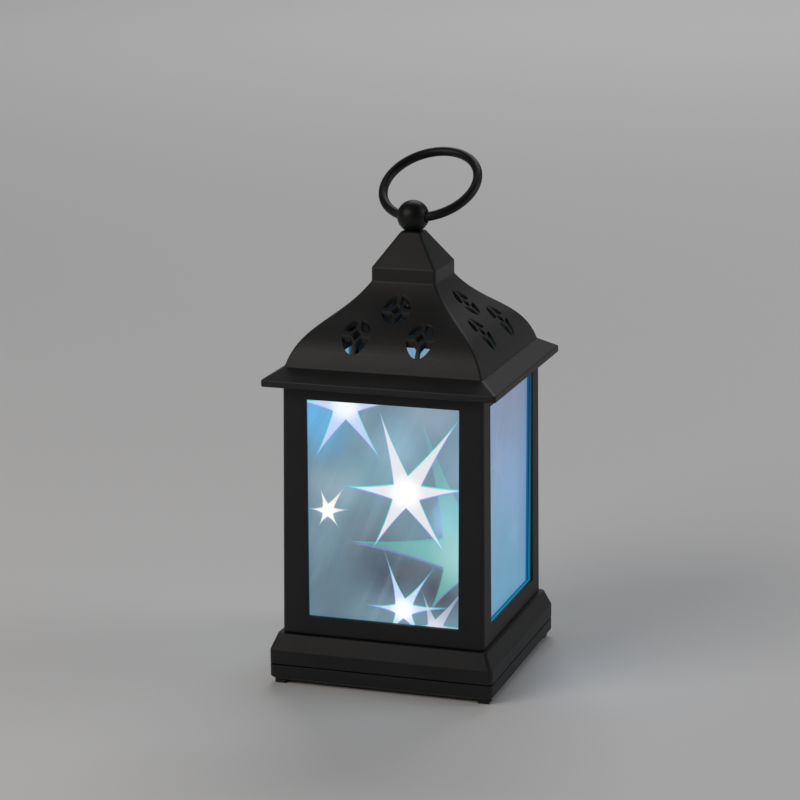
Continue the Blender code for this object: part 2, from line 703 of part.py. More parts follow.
def bottom_lid(material):
    half = PLINTH_WIDTH / 2
    bm = bmesh.new()
    sections = [
        square_section(half - LID_CHAMFER, PLINTH_CORNER / 2, LID_BOTTOM),
        square_section(half, PLINTH_CORNER, LID_BOTTOM + LID_CHAMFER),
        square_section(half, PLINTH_CORNER, LID_TOP),
    ]
    add_loft(bm, sections)
    lid = build("bottom_lid", bm, material)

    bm = bmesh.new()
    levels = (LID_FLOOR_TOP, LID_TOP + LID_SPIGOT_RISE)
    add_loft(bm, [square_section(LID_SPIGOT, PLINTH_CORNER / 2, z) for z in levels])
    join(lid, bm)
    bm = bmesh.new()
    low, high = LID_FLOOR_TOP, LID_TOP + 2 * LID_SPIGOT_RISE
    add_box(bm, (-LID_HOLLOW, -LID_HOLLOW, low), (LID_HOLLOW, LID_HOLLOW, high))
    cut(lid, bm)

    box_x, box_y = BOX_HALF_X + BOX_WALL, BOX_HALF_Y + BOX_WALL
    well = LID_SCREW[0] / 2 + FIT
    root = LID_BOTTOM + LID_FLOOR / 2
    bm = bmesh.new()
    add_box(bm, (-box_x, -box_y, root), (box_x, box_y, BOX_TOP_INSIDE + BOX_WALL))
    for x, y in corner_places(*LID_SCREW_PLACE):
        add_rod(bm, well + BOSS_WALL, (x, y, root), (x, y, LID_TOP - FIT))
    post = shank_hole(BOARD_SCREW) + BOSS_WALL / 2
    for x in (-BOARD_SCREW_PLACE, BOARD_SCREW_PLACE):
        start, end = (x, SWITCH_PLACE, root), (x, SWITCH_PLACE, BOARD_BOTTOM - FIT)
        add_rod(bm, post, start, end, SMALL_SIDES)
    join(lid, bm)
    bm = bmesh.new()
    ledge_x, ledge_y = DOOR_HALF_X + FIT + BOX_WALL, DOOR_HALF_Y + FIT + BOX_WALL
    ledge_top = LID_BOTTOM + DOOR_THICKNESS + FIT + DOOR_LEDGE
    add_box(bm, (-ledge_x, -ledge_y, root), (ledge_x, ledge_y, ledge_top))
    join(lid, bm)
    bm = bmesh.new()
    cheek = DOOR_HALF_X + HINGE_PIN_LENGTH + FIT + BOX_WALL
    cheek_top = HINGE_Z + HINGE_PIN_DIAMETER / 2 + FIT + BOX_WALL
    reach = HINGE_RISE + FIT
    low, high = (-cheek, HINGE_Y - 2 * reach, root), (cheek, HINGE_Y + reach + BOX_WALL, cheek_top)
    add_box(bm, low, high)
    add_latch_well(bm, BOX_WALL)
    join(lid, bm)

    bm = bmesh.new()
    add_box(bm, (-BOX_HALF_X, -BOX_HALF_Y, LID_BOTTOM), (BOX_HALF_X, BOX_HALF_Y, BOX_TOP_INSIDE))
    cut(lid, bm)
    bm = bmesh.new()
    edge_x, edge_y = DOOR_HALF_X + FIT, DOOR_HALF_Y + FIT
    low, high = LID_BOTTOM - FIT, LID_BOTTOM + DOOR_THICKNESS + FIT
    add_box(bm, (-edge_x, -edge_y, low), (edge_x, edge_y, high))
    cut(lid, bm)
    bm = bmesh.new()
    add_rod(bm, reach, (-edge_x, HINGE_Y, HINGE_Z), (edge_x, HINGE_Y, HINGE_Z))
    cut(lid, bm)
    bm = bmesh.new()
    pin_end = DOOR_HALF_X + HINGE_PIN_LENGTH + FIT
    pin_hole = HINGE_PIN_DIAMETER / 2 + FIT
    add_rod(bm, pin_hole, (-pin_end, HINGE_Y, HINGE_Z), (pin_end, HINGE_Y, HINGE_Z), SMALL_SIDES)
    cut(lid, bm)
    bm = bmesh.new()
    add_latch_well(bm, 0)
    cut(lid, bm)

    bm = bmesh.new()
    socket = FOOT_SIZE / 2 + FIT
    low, high = LID_BOTTOM - FIT, LID_BOTTOM + FOOT_SOCKET
    for x, y in foot_places():
        add_box(bm, (x - socket, y - socket, low), (x + socket, y + socket, high))
    for x, y in corner_places(*LID_SCREW_PLACE):
        add_rod(bm, well, (x, y, LID_BOTTOM - FIT), (x, y, lid_screw_seat()))
    slot_x = (SWITCH_TRAVEL + SWITCH_KNOB[0]) / 2 + FIT
    slot_y = SWITCH_KNOB[1] / 2 + FIT
    low, high = LID_BOTTOM - FIT, LID_FLOOR_TOP + FIT
    add_box(bm, (-slot_x, SWITCH_PLACE - slot_y, low), (slot_x, SWITCH_PLACE + slot_y, high))
    cut(lid, bm)
    bm = bmesh.new()
    for x, y in corner_places(*LID_SCREW_PLACE):
        add_rod(bm, shank_hole(LID_SCREW), (x, y, LID_BOTTOM), (x, y, LID_TOP + FIT), SMALL_SIDES)
    for x in (-BOARD_SCREW_PLACE, BOARD_SCREW_PLACE):
        start = (x, SWITCH_PLACE, BOARD_TOP - BOARD_SCREW[3] - FIT)
        add_rod(bm, shank_hole(BOARD_SCREW), start, (x, SWITCH_PLACE, BOARD_TOP), SMALL_SIDES)
    width, reach_out, depth = FINGER_NOTCH
    angles = [math.pi * i / SMALL_SIDES for i in range(SMALL_SIDES + 1)]
    outline = [(width / 2 * math.cos(a), -DOOR_HALF_Y - reach_out * math.sin(a)) for a in angles]
    add_prism(bm, outline, LID_BOTTOM - FIT, LID_BOTTOM + depth)
    cut(lid, bm)
    return lid


def add_latch_well(bm, wall):
    """The pocket behind the door's front edge that its latch tongue stands in."""
    half = LATCH_WIDTH / 2 + LATCH_PLAY
    low = LID_BOTTOM + (LID_FLOOR / 2 if wall else 0)
    top = LID_BOTTOM + DOOR_THICKNESS + LATCH_RISE + LATCH_PLAY
    back = -DOOR_HALF_Y + LATCH_THICKNESS + LATCH_PLAY
    add_box(bm, (-half - wall, LATCH_WELL_FRONT - wall, low), (half + wall, back, top + wall))


def foot_places():
    inset = PLINTH_WIDTH / 2 - FOOT_INSET - FOOT_SIZE / 2
    return corner_places(inset, inset)


def feet(material):
    corners = ("back_right", "back_left", "front_left", "front_right")
    top = LID_BOTTOM + FOOT_SOCKET - FIT
    half, edge = FOOT_SIZE / 2, FOOT_EDGE
    for corner, (x, y) in zip(corners, foot_places()):
        bm = bmesh.new()
        sections = [
            square_section(half - edge, edge, 0),
            square_section(half, edge * 2, edge),
            square_section(half, edge * 2, top),
        ]
        add_loft(bm, sections)
        foot = build(f"foot_{corner}", bm, material)
        foot.location = (x, y, 0)


def battery_door(material):
    """The door, built about its hinge axis at the back edge."""
    bottom, top = LID_BOTTOM - HINGE_Z, LID_BOTTOM + DOOR_THICKNESS - HINGE_Z
    front = -DOOR_HALF_Y - HINGE_Y
    bm = bmesh.new()
    add_box(bm, (-DOOR_HALF_X, front, bottom), (DOOR_HALF_X, 0, top))
    door = build("battery_door", bm, material)
    bm = bmesh.new()
    add_rod(bm, HINGE_RISE, (-DOOR_HALF_X, 0, 0), (DOOR_HALF_X, 0, 0))
    join(door, bm)
    bm = bmesh.new()
    pin_end = DOOR_HALF_X + HINGE_PIN_LENGTH
    add_rod(bm, HINGE_PIN_DIAMETER / 2, (-pin_end, 0, 0), (pin_end, 0, 0), SMALL_SIDES)
    join(door, bm)
    bm = bmesh.new()
    half, back = LATCH_WIDTH / 2, front + LATCH_THICKNESS
    add_box(bm, (-half, front, bottom + DOOR_THICKNESS / 2), (half, back, top + LATCH_RISE))
    join(door, bm)
    door.location = (0, HINGE_Y, HINGE_Z)
    return door


def cell_spans():
    """Each cell's middle along X, and whether its nub points to the back."""
    for i in range(CELL_COUNT):
        yield (i - (CELL_COUNT - 1) / 2) * CELL_PITCH, i % 2 == 0


def cells(material):
    radius = CELL_DIAMETER / 2
    nub_radius, nub = CELL_NUB[0] / 2, CELL_NUB[1]
    profile = [
        (radius - CELL_EDGE, 0),
        (radius, CELL_EDGE),
        (radius, CELL_LENGTH - CELL_EDGE),
        (radius - CELL_EDGE, CELL_LENGTH),
        (nub_radius, CELL_LENGTH),
        (nub_radius, CELL_LENGTH + nub),
    ]
    for i, (x, nub_back) in enumerate(cell_spans(), 1):
        side = 1 if nub_back else -1
        bm = bmesh.new()
        add_turned(bm, profile, Matrix.Rotation(-side * math.pi / 2, 4, "X"))
        cell = build(f"cell_{i}", bm, material)
        nub_end = BOX_HALF_Y - 2 * FIT - CONTACT_THICKNESS - CONTACT_BUMP[1]
        cell.location = (x, side * (nub_end - CELL_LENGTH - nub), CELL_AXIS)


def contacts(material):
    """Strips on the compartment's end walls, with a bump for each nub and a spring for each
    flat end. The strips in the middle link one cell to the next."""
    spans = list(cell_spans())
    low = CELL_AXIS - CONTACT_HEIGHT / 2
    for side, end in ((1, "back"), (-1, "front")):
        wall = BOX_HALF_Y - FIT
        groups = [[0], [1, 2]] if side > 0 else [[0, 1], [2]]
        for group in groups:
            xs = [spans[i][0] for i in group]
            reach = CELL_DIAMETER / 2 - 2 * FIT
            bm = bmesh.new()
            face = side * (wall - CONTACT_THICKNESS)
            near, far = sorted((side * wall, face))
            left, right = min(xs) - reach, max(xs) + reach
            add_box(bm, (left, near, low), (right, far, low + CONTACT_HEIGHT))
            name = f"contact_{end}_" + "_".join(str(i + 1) for i in group)
            strip = build(name, bm, material)
            bm = bmesh.new()
            for i in group:
                x, nub_back = spans[i]
                centre = Vector((x, face, CELL_AXIS))
                if nub_back == (side > 0):
                    width, rise = CONTACT_BUMP
                    inside = centre + Vector((0, side * CONTACT_THICKNESS / 2, 0))
                    tip = centre - Vector((0, side * rise, 0))
                    add_rod(bm, width / 2 + rise, inside, tip, SMALL_SIDES, width / 2)
                else:
                    add_spring(bm, centre, side)
            join(strip, bm)


def add_spring(bm, centre, side):
    """A conical spring that stands on a contact strip and presses on a cell's flat end."""
    path = []
    count = SPRING_TURNS * SPRING_POINTS_A_TURN
    start = -CONTACT_THICKNESS / 2
    free = SPRING_LENGTH - SPRING_WIRE / 2 - FIT
    for i in range(count + 1):
        share = i / count
        radius = (SPRING_FOOT_WIDTH + (SPRING_TIP_WIDTH - SPRING_FOOT_WIDTH) * share - SPRING_WIRE) / 2
        angle = 2 * math.pi * SPRING_TURNS * share
        lift = start + (free - start) * share
        path.append(centre + Vector((radius * math.cos(angle), -side * lift, radius * math.sin(angle))))
    add_tube(bm, path, SPRING_WIRE / 2, SPRING_SIDES)


def switch_and_board(black, board_green, bright_steel, chip_black, screw_steel):
    half_x, half_y, height = SWITCH_BODY[0] / 2, SWITCH_BODY[1] / 2, SWITCH_BODY[2]
    y = SWITCH_PLACE
    bm = bmesh.new()
    low = SWITCH_BODY_BOTTOM
    add_box(bm, (-half_x, y - half_y, low), (half_x, y + half_y, low + height))
    can = build("switch_body", bm, bright_steel)
    bm = bmesh.new()
    stem_x, stem_y = SWITCH_STEM[0] / 2, SWITCH_STEM[1] / 2
    slot_x = SWITCH_TRAVEL / 2 + stem_x + FIT
    top = low + SWITCH_STEM_REACH + FIT
    add_box(bm, (-slot_x, y - stem_y - FIT, low - FIT), (slot_x, y + stem_y + FIT, top))
    cut(can, bm)

    knob_x, knob_y = SWITCH_KNOB[0] / 2, SWITCH_KNOB[1] / 2
    bottom = LID_BOTTOM + SWITCH_KNOB_SINK
    bm = bmesh.new()
    add_box(bm, (-knob_x, y - knob_y, bottom), (knob_x, y + knob_y, SWITCH_KNOB_TOP))
    knob = build("switch_knob", bm, black)
    bm = bmesh.new()
    start, end = SWITCH_KNOB_TOP - FIT, low + SWITCH_STEM_REACH
    add_box(bm, (-stem_x, y - stem_y, start), (stem_x, y + stem_y, end))
    join(knob, bm)
    bm = bmesh.new()
    pitch = SWITCH_KNOB[0] / (SWITCH_KNOB_RIBS + 1)
    for i in range(SWITCH_KNOB_RIBS):
        x = (i - (SWITCH_KNOB_RIBS - 1) / 2) * pitch
        add_box(bm, (x - FIT, y - 2 * knob_y, bottom - FIT), (x + FIT, y + 2 * knob_y, bottom + FIT))
    cut(knob, bm)

    board_x, board_y = BOARD_SIZE[0] / 2, BOARD_SIZE[1] / 2
    bm = bmesh.new()
    add_box(bm, (-board_x, y - board_y, BOARD_BOTTOM), (board_x, y + board_y, BOARD_TOP))
    board = build("control_board", bm, board_green)
    bm = bmesh.new()
    for x in (-BOARD_SCREW_PLACE, BOARD_SCREW_PLACE):
        start, end = (x, y, BOARD_BOTTOM - FIT), (x, y, BOARD_TOP + FIT)
        add_rod(bm, shank_hole(BOARD_SCREW), start, end, SMALL_SIDES)
    cut(board, bm)
    for i, x in enumerate((-BOARD_SCREW_PLACE, BOARD_SCREW_PLACE), 1):
        screw(f"board_screw_{i}", (x, y), BOARD_TOP + FIT, BOARD_SCREW, screw_steel, upward=False)

    bm = bmesh.new()
    low = BOARD_TOP + FIT
    half_x, half_y, height = CHIP_SIZE[0] / 2, CHIP_SIZE[1] / 2, CHIP_SIZE[2]
    add_box(bm, (-half_x, y - half_y, low), (half_x, y + half_y, low + height))
    build("timer_chip", bm, chip_black)


def chamber_floor(material):
    half = BODY_INSIDE / 2 - FIT
    bm = bmesh.new()
    add_box(bm, (-half, -half, BODY_BOTTOM), (half, half, FLOOR_TOP))
    floor = build("chamber_floor", bm, material)
    socket = POST_DIAMETER / 2 + FIT
    bm = bmesh.new()
    start, end = (0, 0, BODY_BOTTOM + FIT), (0, 0, FLOOR_TOP + POST_SOCKET_HEIGHT)
    add_rod(bm, socket + POST_SOCKET_WALL, start, end)
    join(floor, bm)
    bm = bmesh.new()
    add_rod(bm, socket, (0, 0, FLOOR_TOP), (0, 0, FLOOR_TOP + 2 * POST_SOCKET_HEIGHT))
    for x, y in corner_places(BODY_SCREW_PLACE, BODY_SCREW_PLACE):
        add_rod(bm, shank_hole(BODY_SCREW), (x, y, PLINTH_TOP), (x, y, FLOOR_TOP + FIT), SMALL_SIDES)
    x, y = STRING_HOLE_PLACE
    add_rod(bm, FLOOR_HOLE_DIAMETER / 2, (x, y, PLINTH_TOP), (x, y, FLOOR_TOP + FIT), SMALL_SIDES)
    cut(floor, bm)


def led_post(material):
    radius = POST_DIAMETER / 2
    bottom = FLOOR_TOP + FIT
    profile = [
        (radius - FIT, bottom),
        (radius, bottom + FIT),
        (radius, bottom + POST_HEIGHT - radius * 0.6),
        (radius * 0.8, bottom + POST_HEIGHT - radius * 0.2),
        (0, bottom + POST_HEIGHT),
    ]
    bm = bmesh.new()
    add_turned(bm, profile, Matrix.Identity(4))
    build("led_post", bm, material)


def light_string(wire_material, bead_material):
    """One lead from the board up through the chamber floor, looped round the post."""
    x, y = STRING_PAD[0], SWITCH_PLACE + STRING_PAD[1]
    hole_x, hole_y = STRING_HOLE_PLACE
    box_top = BOX_TOP_INSIDE + BOX_WALL
    rise = [
        (x, y, BOARD_TOP + FIT),
        (x, y, (BOARD_TOP + box_top) / 2),
        ((x + hole_x) / 2, (y + hole_y) / 2 - STRING_DIAMETER, box_top + 3 * STRING_DIAMETER),
        (hole_x, hole_y, BODY_BOTTOM),
    ]
    end_x = -(POST_DIAMETER + STRING_DIAMETER) / 2 - FIT
    end = (end_x, STRING_DIAMETER, FLOOR_TOP + POST_HEIGHT - POST_DIAMETER / 2)
    looped = [Vector((px, py, FLOOR_TOP + pz)) for px, py, pz, _ in STRING_ROUTE]
    neighbours = [Vector(rise[-1])] + looped + [Vector(end)]
    route = list(rise)
    lights, straight = [], set()
    for before, point, after, (*_, lit) in zip(neighbours, looped, neighbours[2:], STRING_ROUTE):
        if not lit:
            route.append(point)
            continue
        along = (after - before).normalized()
        lights.append((point, along))
        straight |= {len(route), len(route) + 1}
        route += [point - along * BEAD_STRAIGHT, point, point + along * BEAD_STRAIGHT]
    route.append(end)
    points = smooth_route(route, STRING_STEPS, straight)
    wire("light_string", points, STRING_DIAMETER, wire_material)

    bore = STRING_DIAMETER / 2 + BEAD_PLAY
    widest, half = BEAD_DIAMETER / 2, BEAD_LENGTH / 2
    arc = [(bore, -half)]
    for degrees in (-50, 0, 50):
        angle = math.radians(degrees)
        arc.append((bore + (widest - bore) * math.cos(angle), half * math.sin(angle)))
    arc.append((bore, half))
    for number, (point, along) in enumerate(lights, 1):
        turn = along.to_track_quat("Z", "Y").to_matrix().to_4x4()
        bm = bmesh.new()
        add_turned(bm, arc, Matrix.Identity(4), SMALL_SIDES, closed=True)
        bead = build(f"led_{number}", bm, bead_material)
        bead.matrix_world = Matrix.Translation(point) @ turn


def battery_leads(red, black):
    """The two leads from the end contacts to the board, over the top of the compartment."""
    over = BOX_TOP_INSIDE + BOX_WALL + LEAD_DIAMETER
    front = -BOX_HALF_Y - BOX_WALL - 2 * LEAD_DIAMETER
    back = BOX_HALF_Y - CONTACT_THICKNESS
    board_x = BOARD_SIZE[0] / 2 - LEAD_DIAMETER
    board_y = SWITCH_PLACE + BOARD_SIZE[1] / 2 - LEAD_DIAMETER
    lift = BOARD_TOP + FIT
    middles = [x for x, _ in cell_spans()]
    first, last = middles[0], middles[-1]
    red_route = [
        (first, back, over),
        (first - LEAD_SLACK / 2, back - 4 * LEAD_SLACK, over),
        (first - LEAD_SLACK, 0, over),
        (first, front + 3 * LEAD_SLACK, over),
        (-board_x + LEAD_SLACK / 2, front, over - LEAD_SLACK / 2),
        (-board_x, board_y, lift + LEAD_RISE),
        (-board_x, board_y, lift),
    ]
    wire("battery_lead_red", smooth_route(red_route, LEAD_STEPS), LEAD_DIAMETER, red)
    black_route = [
        (last, -BOX_HALF_Y + LEAD_SLACK, over),
        (last + LEAD_SLACK / 2, front, over - LEAD_SLACK / 2),
        (board_x, board_y, lift + LEAD_RISE),
        (board_x, board_y, lift),
    ]
    wire("battery_lead_black", smooth_route(black_route, LEAD_STEPS), LEAD_DIAMETER, black)


def finial(ball_black, screw_steel):
    """The ball and its screw and washer, which turn together on the roof's tip."""
    centre = Matrix.Translation((0, 0, BALL_CENTRE))
    radius = BALL_DIAMETER / 2
    lowest = math.asin((BALL_SEAT - BALL_CENTRE) / radius)
    rows = 10
    profile = []
    for row in range(rows + 1):
        angle = lowest + (math.pi / 2 - lowest) * row / rows
        profile.append((radius * math.cos(angle) if row < rows else 0, radius * math.sin(angle)))
    bm = bmesh.new()
    add_turned(bm, profile, centre, 20)
    ball = build("finial_ball", bm, ball_black)

    turn = Matrix.Rotation(FINIAL_TURN, 3, "Z")
    middle = Vector((0, 0, BALL_CENTRE))
    pin_bore = RING_PIN_DIAMETER / 2 + FIT
    socket = RING_THICKNESS / 2 + RING_SOCKET_PLAY
    blind = RING_REACH_IN - RING_PIN_DEPTH - FIT
    corner_in = RING_THICKNESS / 2 * RING_REACH_IN / RING_RADIUS
    socket_floor = RING_REACH_IN - corner_in - FIT
    bm = bmesh.new()
    for side in (-1, 1):
        along = side * (turn @ ALONG_X)
        add_rod(bm, socket, middle + along * socket_floor, middle + along * BALL_DIAMETER)
    cut(ball, bm)
    bm = bmesh.new()
    for side in (-1, 1):
        along = side * (turn @ ALONG_X)
        add_rod(bm, pin_bore, middle + along * blind, middle + along * RING_REACH_IN * 1.1, SMALL_SIDES)
    top = finial_screw_seat() + FINIAL_SCREW[3] + FIT
    add_rod(bm, shank_hole(FINIAL_SCREW), (0, 0, BALL_SEAT - FIT), (0, 0, top), SMALL_SIDES)
    cut(ball, bm)

    seat = finial_screw_seat()
    screw("finial_screw", (0, 0), seat, FINIAL_SCREW, screw_steel)
    outer, hole = FINIAL_WASHER[0] / 2, shank_hole(FINIAL_SCREW)
    low, high = seat + FIT, seat + FIT + FINIAL_WASHER[1]
    bm = bmesh.new()
    profile = [(hole, low), (outer, low), (outer, high), (hole, high)]
    add_turned(bm, profile, Matrix.Identity(4), ROUND_SIDES, closed=True)
    build("finial_washer", bm, screw_steel)


def finial_screw_seat():
    return SPIRE_TOP - SPIRE_TOP_WALL - FIT - FINIAL_WASHER[1] - FIT


def ring(material):
    """The ring, built upright about the hinge axis through the ball, then leaned back."""
    drop = math.sqrt(RING_RADIUS**2 - RING_REACH_IN**2)
    half_gap = math.asin(RING_REACH_IN / RING_RADIUS)
    path = []
    for step in range(RING_STEPS + 1):
        angle = -math.pi / 2 + half_gap + step / RING_STEPS * (2 * math.pi - 2 * half_gap)
        path.append((RING_RADIUS * math.cos(angle), 0, drop + RING_RADIUS * math.sin(angle)))
    bm = bmesh.new()
    add_tube(bm, path, RING_THICKNESS / 2, RING_SIDES)
    bail = build("ring", bm, material)
    bm = bmesh.new()
    inner = RING_REACH_IN - RING_PIN_DEPTH
    outer = RING_REACH_IN + RING_THICKNESS / 4
    for side in (-1, 1):
        start, end = (side * inner, 0, 0), (side * outer, 0, 0)
        add_rod(bm, RING_PIN_DIAMETER / 2, start, end, SMALL_SIDES)
    join(bail, bm)
    place = Matrix.Translation((0, 0, BALL_CENTRE))
    turned = Matrix.Rotation(FINIAL_TURN, 4, "Z") @ Matrix.Rotation(-RING_LEAN, 4, "X")
    bail.matrix_world = place @ turned


def assembly_screws(material):
    spots = ("back_right", "back_left", "front_left", "front_right")
    places = corner_places(ROOF_SCREW_PLACE, ROOF_SCREW_PLACE)
    for spot, place in zip(spots, places):
        screw(f"roof_screw_{spot}", place, POST_TOP - GUSSET_HEIGHT - FIT, ROOF_SCREW, material)
    places = corner_places(BODY_SCREW_PLACE, BODY_SCREW_PLACE)
    for spot, place in zip(spots, places):
        screw(f"body_screw_{spot}", place, PLINTH_TOP - PLINTH_WALL - FIT, BODY_SCREW, material)
    for spot, place in zip(spots, corner_places(*LID_SCREW_PLACE)):
        screw(f"lid_screw_{spot}", place, lid_screw_seat() - FIT, LID_SCREW, material)


def shade():
    for obj in bpy.data.objects:
        if obj.type == "MESH":
            obj.data.shade_smooth()
            obj.data.set_sharp_from_angle(angle=SMOOTH_ANGLE)


def main():
    clear_scene()
    black = finish("fine_grained_black_plastic", (0.022, 0.021, 0.021), 0.62)
    roof_black = finish("roof_black_plastic", (0.028, 0.025, 0.024), 0.6)
    clear = finish("clear_star_film_panel", (0.45, 0.62, 0.72), 0.08, transmission=0.85)
    rubber = finish("black_rubber", (0.02, 0.02, 0.02), 0.85)
    ball_black = finish("satin_black_plastic", (0.02, 0.018, 0.018), 0.38)
    steel = finish("zinc_plated_steel", (0.55, 0.56, 0.58), 0.35, 1.0)
    spring_steel = finish("nickel_plated_steel", (0.68, 0.66, 0.62), 0.28, 1.0)
    jacket = finish("cell_jacket", (0.12, 0.16, 0.2), 0.4, 0.3)
    board_green = finish("board_green", (0.03, 0.16, 0.07), 0.5)
    chip = finish("chip_black", (0.03, 0.03, 0.03), 0.5)
    acrylic = finish("clear_acrylic", (0.8, 0.85, 0.88), 0.12, transmission=0.9)
    string = finish("clear_sheathed_wire", (0.55, 0.42, 0.3), 0.4)
    epoxy = finish("light_epoxy", (0.9, 0.95, 1.0), 0.2, transmission=0.5)
    red = finish("red_insulation", (0.5, 0.03, 0.03), 0.5)
    dark = finish("black_insulation", (0.02, 0.02, 0.02), 0.5)

    bottom_lid(black)
    feet(rubber)
    battery_door(black)
    cells(jacket)
    contacts(spring_steel)
    switch_and_board(black, board_green, steel, chip, steel)
    battery_leads(red, dark)
    plinth_shell(black)
    chamber_floor(black)
    led_post(acrylic)
    light_string(string, epoxy)
    body_frame(black)
    window_panels(clear)
    roof_shell(roof_black)
    finial(ball_black, steel)
    ring(ball_black)
    assembly_screws(steel)
    shade()


main()
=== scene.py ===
import math

import bmesh
import bpy
from mathutils import Matrix, Vector


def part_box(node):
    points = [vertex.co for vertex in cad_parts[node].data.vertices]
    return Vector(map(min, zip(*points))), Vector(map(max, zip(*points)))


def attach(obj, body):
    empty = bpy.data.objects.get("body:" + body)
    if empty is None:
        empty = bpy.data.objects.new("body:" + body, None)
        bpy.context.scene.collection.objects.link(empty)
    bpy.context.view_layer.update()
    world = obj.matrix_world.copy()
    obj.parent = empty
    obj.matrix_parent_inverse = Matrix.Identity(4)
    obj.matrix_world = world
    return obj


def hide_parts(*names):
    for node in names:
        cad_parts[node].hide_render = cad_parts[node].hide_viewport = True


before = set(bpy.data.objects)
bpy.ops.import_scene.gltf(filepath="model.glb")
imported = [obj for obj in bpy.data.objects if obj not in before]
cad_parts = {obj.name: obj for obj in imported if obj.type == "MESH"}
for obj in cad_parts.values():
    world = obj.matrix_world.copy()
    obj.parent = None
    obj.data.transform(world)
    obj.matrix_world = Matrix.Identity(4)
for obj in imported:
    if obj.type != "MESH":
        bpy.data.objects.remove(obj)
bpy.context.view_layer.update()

# The studio. A pale matt floor that curves up into its own backdrop, in a dim room. A wide warm
# softbox stands at the front left, a cooler one at the right, and a third lights the far floor.
FLOOR_RADIUS = 5.2
BACKDROP_RADIUS = 1.4
BACKDROP_STEPS = 10
FLOOR_GREY = (0.83, 0.825, 0.825)
ROOM_GREY = (0.95, 0.97, 1.0)
ROOM_STRENGTH = 0.092
LANTERN_MIDDLE = Vector((0, 0, 0.10))


def feed(node, key, value):
    """Gives a node's input a value, or links it to the socket that feeds it."""
    if isinstance(value, bpy.types.NodeSocket):
        node.id_data.links.new(value, node.inputs[key])
    else:
        node.inputs[key].default_value = value


def put(tree, kind, inputs=(), **settings):
    """Adds a node with its settings and inputs."""
    made = tree.nodes.new(kind)
    for key, value in settings.items():
        setattr(made, key, value)
    for key, value in dict(inputs).items():
        feed(made, key, value)
    return made


def new_coat(name):
    """An empty material, its node tree and its Principled shader."""
    coat = bpy.data.materials.new(name)
    coat.use_nodes = True
    return coat, coat.node_tree, coat.node_tree.nodes["Principled BSDF"]


def edit(kind=None, action="SELECT"):
    """Opens the active piece's mesh for editing, with all of it selected or none."""
    bpy.ops.object.mode_set(mode="EDIT")
    if kind:
        bpy.ops.mesh.select_mode(type=kind)
    bpy.ops.mesh.select_all(action=action)


def face_outwards():
    """Turns every face of the mesh in edit mode outwards."""
    bpy.ops.mesh.select_all(action="SELECT")
    bpy.ops.mesh.normals_make_consistent(inside=False)


def end_edit():
    bpy.ops.object.mode_set(mode="OBJECT")


bpy.ops.object.select_all(action="DESELECT")
bpy.ops.mesh.primitive_circle_add(vertices=96, radius=FLOOR_RADIUS, fill_type="NGON")
floor = bpy.context.object
floor.name = "studio_floor"
edit("EDGE")
reach, height = FLOOR_RADIUS, 0.0
for step in range(1, BACKDROP_STEPS + 1):
    turn = step / BACKDROP_STEPS * math.pi / 2
    next_reach = FLOOR_RADIUS + BACKDROP_RADIUS * math.sin(turn)
    next_height = BACKDROP_RADIUS * (1 - math.cos(turn))
    bpy.ops.mesh.extrude_edges_move(TRANSFORM_OT_translate={"value": (0, 0, next_height - height)})
    grow = next_reach / reach
    bpy.ops.transform.resize(value=(grow, grow, 1), center_override=(0, 0, 0))
    reach, height = next_reach, next_height
face_outwards()
end_edit()
bpy.ops.object.shade_smooth()
paper, tree, shader = new_coat("studio_paper")
feed(shader, "Base Color", (*FLOOR_GREY, 1))
feed(shader, "Roughness", 0.9)
feed(shader, "Specular IOR Level", 0.1)
floor.data.materials.append(paper)

room = bpy.data.worlds.new("studio_room")
bpy.context.scene.world = room
room.use_nodes = True
room.node_tree.nodes["Background"].inputs["Color"].default_value = (*ROOM_GREY, 1)
room.node_tree.nodes["Background"].inputs["Strength"].default_value = ROOM_STRENGTH


def softbox(name, turn, rise, distance, width, height, power, colour, target=LANTERN_MIDDLE):
    """A rectangular area lamp that faces its target from a turn and rise in degrees, with 0 at the
    front and 90 at the right. It isn't seen itself."""
    turn, rise = math.radians(turn), math.radians(rise)
    away = Vector((math.sin(turn) * math.cos(rise), -math.cos(turn) * math.cos(rise), math.sin(rise)))
    aim = away.to_track_quat("Z", "Y").to_euler()
    bpy.ops.object.light_add(type="AREA", location=target + distance * away, rotation=aim)
    lamp = bpy.context.object
    lamp.name = name
    lamp.data.shape = "RECTANGLE"
    lamp.data.size = width
    lamp.data.size_y = height
    lamp.data.energy = power
    lamp.data.color = colour
    lamp.visible_camera = False


softbox("key_softbox", -36, 33, 1.7, 1.1, 0.8, 8.6, (1.0, 0.94, 0.89))
softbox("side_softbox", 108, 26, 1.7, 0.9, 0.9, 4.4, (0.95, 0.98, 1.0))
softbox("far_softbox", -160, 70, 3.3, 3.0, 2.0, 51.0, (1.0, 1.0, 1.0), Vector((0, 2.2, 0)))

scene = bpy.context.scene
scene.view_settings.view_transform = "Standard"

# The camera. It stands 1.29 m from the lantern, a little to its right and above, with a long lens.
# Its place was solved from the lantern's own square edges in the photograph.
CAMERA_TURN = math.radians(17.8733)
CAMERA_RISE = math.radians(13.6348)
CAMERA_ROLL = math.radians(-0.2341)
CAMERA_DISTANCE = 1.28606
CAMERA_AIM = Vector((-0.00676, 0.0, 0.1270))
LENS = 123.222

